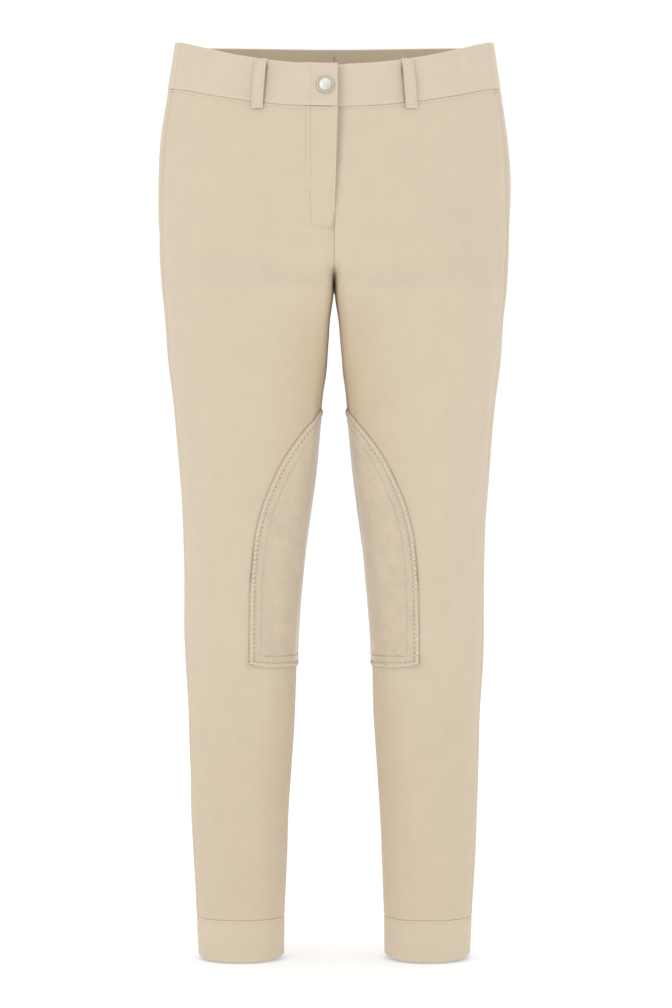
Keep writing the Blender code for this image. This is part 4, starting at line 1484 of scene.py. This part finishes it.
def loop_skin(top_distance, foot_distance, back, share, across):
    """Points of a loop's outer skin; share runs down it, across is mm from its middle line."""
    middle = band_ring(top_distance, 0.0, back)
    top = band_edge(BAND_TOP, middle) - LOOP_TOP_DROP
    foot = band_edge(BAND_SEAM, middle) - LOOP_DROP
    height = np.broadcast_to(mix(top, foot, share), np.broadcast(share, across).shape)
    distance = mix(top_distance, foot_distance, share) + across
    ring = band_ring(distance, height, back)
    surface = band_point(ring, height)
    normal = outward(ring, height, band_point)
    crown = LOOP_CROWN * (1.0 - (2.0 * across / LOOP_WIDTH) ** 2)
    standing = np.sin(math.pi * share) ** LOOP_ROUNDNESS
    tilt = LOOP_TILT * (LOOP_WIDTH / 2 - across) * mix(LOOP_END_TILT, 1.0, standing)
    stand = BAND_PROUD + LOOP_CLEAR + LOOP_WALL + LOOP_STAND * standing
    return surface + normal * (stand + crown + tilt)[..., None], normal


def belt_loop(node, side, top_distance, foot_distance, back):
    def skin_at(share, across):
        return loop_skin(top_distance, foot_distance, back, share, across)

    length = BAND_TOP["front"] - BAND_SEAM["front"] + LOOP_DROP
    share = graded(length, LOOP_STEP)[:, None]
    across = mix(-LOOP_WIDTH / 2, LOOP_WIDTH / 2, graded(LOOP_WIDTH, LOOP_STEP))[None, :]
    loop = cloth_wall(node, *skin_at(share, across), side, LOOP_CLOTH, "folded")
    down = np.linspace(LOOP_ROW_END, 1.0 - LOOP_ROW_END, 40)
    reach = np.linspace(-LOOP_LEVEL_REACH, LOOP_LEVEL_REACH, 8)
    rows = [row_on(skin_at(down, np.full(40, place)), FINE_STITCH) for place in LOOP_ROWS]
    rows += [row_on(skin_at(np.full(8, level), reach), FINE_STITCH) for level in LOOP_LEVELS]
    stitched(node, rows, THREAD, loop)
    return loop


def belt_loops():
    for label, side in SIDES:
        yield belt_loop(f"belt_loop_front_{label}", side, LOOP_FRONT_TOP, LOOP_FRONT_FOOT, False)
        yield belt_loop(f"belt_loop_back_{label}", side, LOOP_BACK, LOOP_BACK, True)
    yield belt_loop("belt_loop_centre_back", LEFT, 0.0, 0.0, True)


# ======== knee patches


def patch_narrowing(height):
    below_arch = (PATCH_ARCH[0, 1] - height) / (PATCH_ARCH[0, 1] - PATCH_FOOT)
    return mix(1.0, PATCH_FOOT_SHARE, smooth_step(2.0 * below_arch - 1.0))


def patch_foot(across):
    return PATCH_FOOT + PATCH_FOOT_RISE * (across / PATCH_ARCH[-1, 0]) ** 8


def patch_top(across):
    return smooth_table(PATCH_ARCH, PATCH_COLUMNS.index("height"), np.abs(across))


def patch_outline():
    """The patch's edge as angles and heights, down one side from the middle of the arch, along the
    foot and up the other side."""
    widest, shoulder = PATCH_ARCH[-1]
    arch = np.linspace(0.0, widest, 120)
    edge_height = np.concatenate([patch_top(arch), np.linspace(shoulder, patch_foot(widest), 60)[1:]])
    edge_across = np.concatenate([arch, np.full(59, widest)])
    foot = np.linspace(widest, -widest, 160)[1:-1]
    across = np.concatenate([edge_across, foot, -edge_across[::-1]])
    height = np.concatenate([edge_height, patch_foot(foot), edge_height[::-1]])
    return INSEAM + np.radians(across) * patch_narrowing(height), height


def step_on_leg(angle, height, move):
    """Moves places on the leg by vectors that lie along its surface."""
    along = patch_surface(angle + LEG_TURN, height) - patch_surface(angle - LEG_TURN, height)
    along = along / (2 * LEG_TURN)
    up = patch_surface(angle, height + HEIGHT_STEP) - patch_surface(angle, height - HEIGHT_STEP)
    up = up / (2 * HEIGHT_STEP)

    def dot(first, second):
        return np.sum(first * second, axis=-1)

    aa, au, uu, ma, mu = dot(along, along), dot(along, up), dot(up, up), dot(move, along), dot(move, up)
    whole = aa * uu - au ** 2
    return angle + (ma * uu - mu * au) / whole, height + (mu * aa - ma * au) / whole


def inside_outline(angle, height, distance):
    """A line inside the patch's edge, at an even distance from it, with its corners rounded."""
    for _ in range(3):
        points = patch_surface(angle, height)
        facing = outward(angle, height, patch_surface)
        ahead = unit(np.roll(points, -1, axis=0) - np.roll(points, 1, axis=0))
        inwards = unit(np.cross(ahead, facing))
        angle, height = step_on_leg(angle, height, inwards * distance / 3.0)
    return angle, height


def even_path(points, step):
    """Places along a path, as indices with fractions, an even step apart."""
    lengths = path_length(points)
    at = np.linspace(0.0, lengths[-1], max(int(lengths[-1] / step), 2) + 1)
    return np.interp(at, lengths, np.arange(len(points)))


def patch_row(side, distance, kind, lift=0.0):
    """A row all round the patch, at a distance inside its edge."""
    angle, height = inside_outline(*patch_outline(), distance)
    keep = even_path(patch_surface(angle, height), PATH_STEP)
    index = np.arange(len(angle))
    angle, height = np.interp(keep, index, angle), np.interp(keep, index, height)
    return row_on(patch_skin(angle, height, side), kind, -lift)


def patch_line(side, first, last):
    """A straight row on a patch between two places, given as angles from the inseam and heights."""
    angle, height = (np.linspace(*ends, 40) for ends in zip(first, last))
    return row_on(patch_skin(INSEAM + np.radians(angle), height, side), FINE_STITCH)


def knee_patch(label, side):
    widest = PATCH_ARCH[-1, 0]
    across = mix(-widest, widest, graded(PATCH_MM_A_DEGREE * 2 * widest, PATCH_STEP))
    share = graded(PATCH_ARCH[0, 1] - PATCH_FOOT, PATCH_STEP)[:, None]
    height = mix(patch_top(across)[None, :], patch_foot(across)[None, :], share)
    angle = INSEAM + np.radians(across)[None, :] * patch_narrowing(height)
    skin, normal = patch_skin(angle, height, side)
    edge = patch_surface(*patch_outline())
    near = np.concatenate([
        np.sqrt(((part[:, None, :] - edge[None, :, :]) ** 2).sum(-1)).min(1)
        for part in np.array_split(skin.reshape(-1, 3), 40)
    ]).reshape(height.shape)
    near = np.sqrt(np.maximum(near ** 2 - (PATCH_CLEAR + PATCH_WALL) ** 2, 0.0))
    sunk = rows_sunk(near, PATCH_BORDER, PATCH_INNER_ROW)
    patch = cloth_wall(
        f"knee_patch_{label}", skin, normal, side, PATCH_CLOTH, "laid", near_edge=near, sunk=sunk)
    level = PATCH_FOOT + PATCH_FOOT_ROW
    rows_of = {
        "flat": [patch_row(side, PATCH_BEADS, BEAD)],
        "border": [
            patch_row(side, PATCH_BORDER, BORDER_DOTS_PAINTED_SHADE),
            patch_row(side, PATCH_SHADOW_LINE, EDGE_SHADOW_LINE, -PATCH_WALL),
        ],
        "inner": [patch_row(side, PATCH_INNER_ROW, FINE_STITCH, -0.1), patch_line(side, *PATCH_DART)],
        "foot": [patch_line(side, (-PATCH_FOOT_REACH, level), (PATCH_FOOT_REACH, level))],
    }
    # The border and the foot's row use the dark thread of painted shade: needle holes, the shadow under
    # the patch's edge, and the foot row's stitching darkened for its dip.
    for part, finish in zip(rows_of, (BEAD_THREAD, PAINTED_SHADE_THREAD, THREAD, PAINTED_SHADE_THREAD)):
        stitched(f"patch_{part}_{label}", rows_of[part], finish, patch)
    return patch


# ======== ankle cuffs


def ankle_cuff(label, side):
    angle = INSEAM + mix(CUFF_GAP, 2 * math.pi - CUFF_GAP, graded(CUFF_ROUND, CUFF_STEP))
    share = graded(CUFF_SEAM - HEM, CUFF_STEP)[:, None]
    foot = HEM + HEM_RISE * np.sin(angle) ** 2
    height = mix(CUFF_SEAM - EDGE, foot[None, :], share)
    angle = np.repeat(angle[None, :], len(share), axis=0)
    skin, normal = cuff_skin(angle, height, side)
    first, last, to_seam, _ = edge_distances(skin)
    sunk = dip(to_seam, SEAM_DIP) + rows_sunk(to_seam, CUFF_ROW)
    sunk = sunk + CUFF_END_SHARE * (dip(first, SEAM_DIP) + dip(last, SEAM_DIP))
    cuff = cloth_wall(f"ankle_cuff_{label}", skin, normal, side, CUFF_CLOTH, "folded", sunk=sunk)
    around = INSEAM + np.linspace(0.02, 2 * math.pi - 0.02, 200)
    level = np.full(200, CUFF_SEAM - CUFF_ROW)
    row = row_on(cuff_skin(around, level, side), FINE_STITCH, ROW_DIP[0])
    stitched(f"cuff_{label}", [row], THREAD, cuff)
    return cuff


# ======== press stud

# radius: from the stud's middle. height: off the band.
STUD_RIM = (
    (6.45, 0.0), (8.6, 0.0), (8.85, 0.15), (8.9, 0.5), (8.75, 0.9), (8.4, 1.2), (7.9, 1.38),
    (7.3, 1.42), (6.85, 1.36), (6.55, 1.2), (6.45, 1.0),
)
STUD_CAP = (
    (0.0, 0.0), (6.1, 0.0), (6.3, 0.3), (6.35, 0.9), (6.28, 1.25), (6.05, 1.5), (5.5, 1.85),
    (4.6, 2.2), (3.4, 2.5), (2.2, 2.68), (1.1, 2.77), (0.0, 2.8),
)


def turned(name, node, profile, place, axis, finish, slot):
    """A turned piece about an axis that stands on the band."""
    sideways = unit(np.cross(np.array((0.0, 0.0, 1.0)), axis))
    up = np.cross(axis, sideways)
    turns = 2 * math.pi * np.arange(STUD_SEGMENTS) / STUD_SEGMENTS
    around = sideways[None, :] * np.cos(turns)[:, None] + up[None, :] * np.sin(turns)[:, None]
    build = bmesh.new()
    rings = []
    for radius, height in profile:
        centre = place + axis * height
        if radius == 0.0:
            rings.append([build.verts.new(centre * METRES)] * STUD_SEGMENTS)
        else:
            rings.append([build.verts.new((centre + out * radius) * METRES) for out in around])
    if profile[0][0] > 0.0:
        rings.append(rings[0])
    for first, second in zip(rings, rings[1:]):
        for index in range(STUD_SEGMENTS):
            after = (index + 1) % STUD_SEGMENTS
            corners = (first[index], first[after], second[after], second[index])
            build.faces.new(list(dict.fromkeys(corners)))
    bmesh.ops.recalc_face_normals(build, faces=build.faces)
    mesh = bpy.data.meshes.new(name)
    build.to_mesh(mesh)
    build.free()
    piece = garment_piece(name, mesh, finish, slot)
    mesh.set_sharp_from_angle(angle=math.radians(STUD_SHARP))
    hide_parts(node)


def press_stud():
    ring = band_ring(STUD_FROM_CENTRE, STUD_HEIGHT)
    surface = flipped(band_point(ring, STUD_HEIGHT), RIGHT)
    axis = flipped(outward(ring, STUD_HEIGHT, band_point), RIGHT)
    place = surface + axis * (BAND_PROUD + BAND_LIFT + STUD_CLEAR)
    turned("stud_rim", "press_stud_rim", STUD_RIM, place, axis, METAL, "stud_metal")
    turned("stud_cap", "press_stud_cap", STUD_CAP, place, axis, PEARL, "stud_pearl")


# ======== the garment

sheets = [*leg_panels(), *waistband(), *belt_loops()]
for label, side in SIDES:
    sheets.append(knee_patch(label, side))
    sheets.append(ankle_cuff(label, side))
press_stud()

for sheet in sheets:
    width, length = (value * METRES for value in sheet["flat"])
    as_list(sheet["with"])

# ======== studio

FLOOR_HEIGHT = HEM - 1.2
FLOOR_HALF = 30000.0
CAMERA_PLACE = (1.7, -3000.0, -434.0)
IMAGE_HEIGHT = 1008
PIXELS_PER_MM = 1.0  # at the garment's middle
SENSOR = 36.0
SKY_COLOUR = (1.0, 1.0, 0.995, 1.0)
SKY_STRENGTH = 1.035
LIGHT_PLACE = (-1500.0, -2200.0, 700.0)
LIGHT_TARGET = (0.0, 0.0, -350.0)
LIGHT_SIZE = 900.0
LIGHT_WATTS = 3.0


def studio_floor():
    mesh = bpy.data.meshes.new("studio_floor")
    ends = ((-1, -1), (1, -1), (1, 1), (-1, 1))
    corners = [(x * FLOOR_HALF, y * FLOOR_HALF, FLOOR_HEIGHT) for x, y in ends]
    mesh.from_pydata((np.array(corners) * METRES).tolist(), [], [(0, 1, 2, 3)])
    mesh.materials.append(floor_material(FLOOR_COLOUR))
    floor = placed("studio_floor", mesh)
    floor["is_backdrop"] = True


def studio_light(place, target, size, watts):
    light = bpy.data.lights.new("key", "AREA")
    light.shape = "DISK"
    light.size = size * METRES
    light.energy = watts
    lamp = placed("key", light)
    lamp.location = Vector(place) * METRES
    lamp.rotation_euler = (Vector(target) - Vector(place)).to_track_quat("-Z", "Y").to_euler()


def studio():
    studio_floor()
    world = bpy.data.worlds.new("studio")
    world.use_nodes = True
    background = world.node_tree.nodes["Background"]
    background.inputs["Color"].default_value = SKY_COLOUR
    background.inputs["Strength"].default_value = SKY_STRENGTH
    bpy.context.scene.world = world
    studio_light(LIGHT_PLACE, LIGHT_TARGET, LIGHT_SIZE, LIGHT_WATTS)
    bpy.context.scene.view_settings.view_transform = "Standard"
    camera = bpy.data.cameras.new("camera")
    camera.sensor_width = SENSOR
    camera.lens = SENSOR * PIXELS_PER_MM * -CAMERA_PLACE[1] / IMAGE_HEIGHT
    camera.clip_end = 100.0
    eye = placed("camera", camera)
    eye.location = Vector(CAMERA_PLACE) * METRES
    eye.rotation_euler = (math.pi / 2, 0.0, 0.0)
    bpy.context.scene.camera = eye


studio()

boxes = {"cad": cad_box, "visual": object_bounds()}
{name: [list(corner) for corner in box] for name, box in boxes.items()}
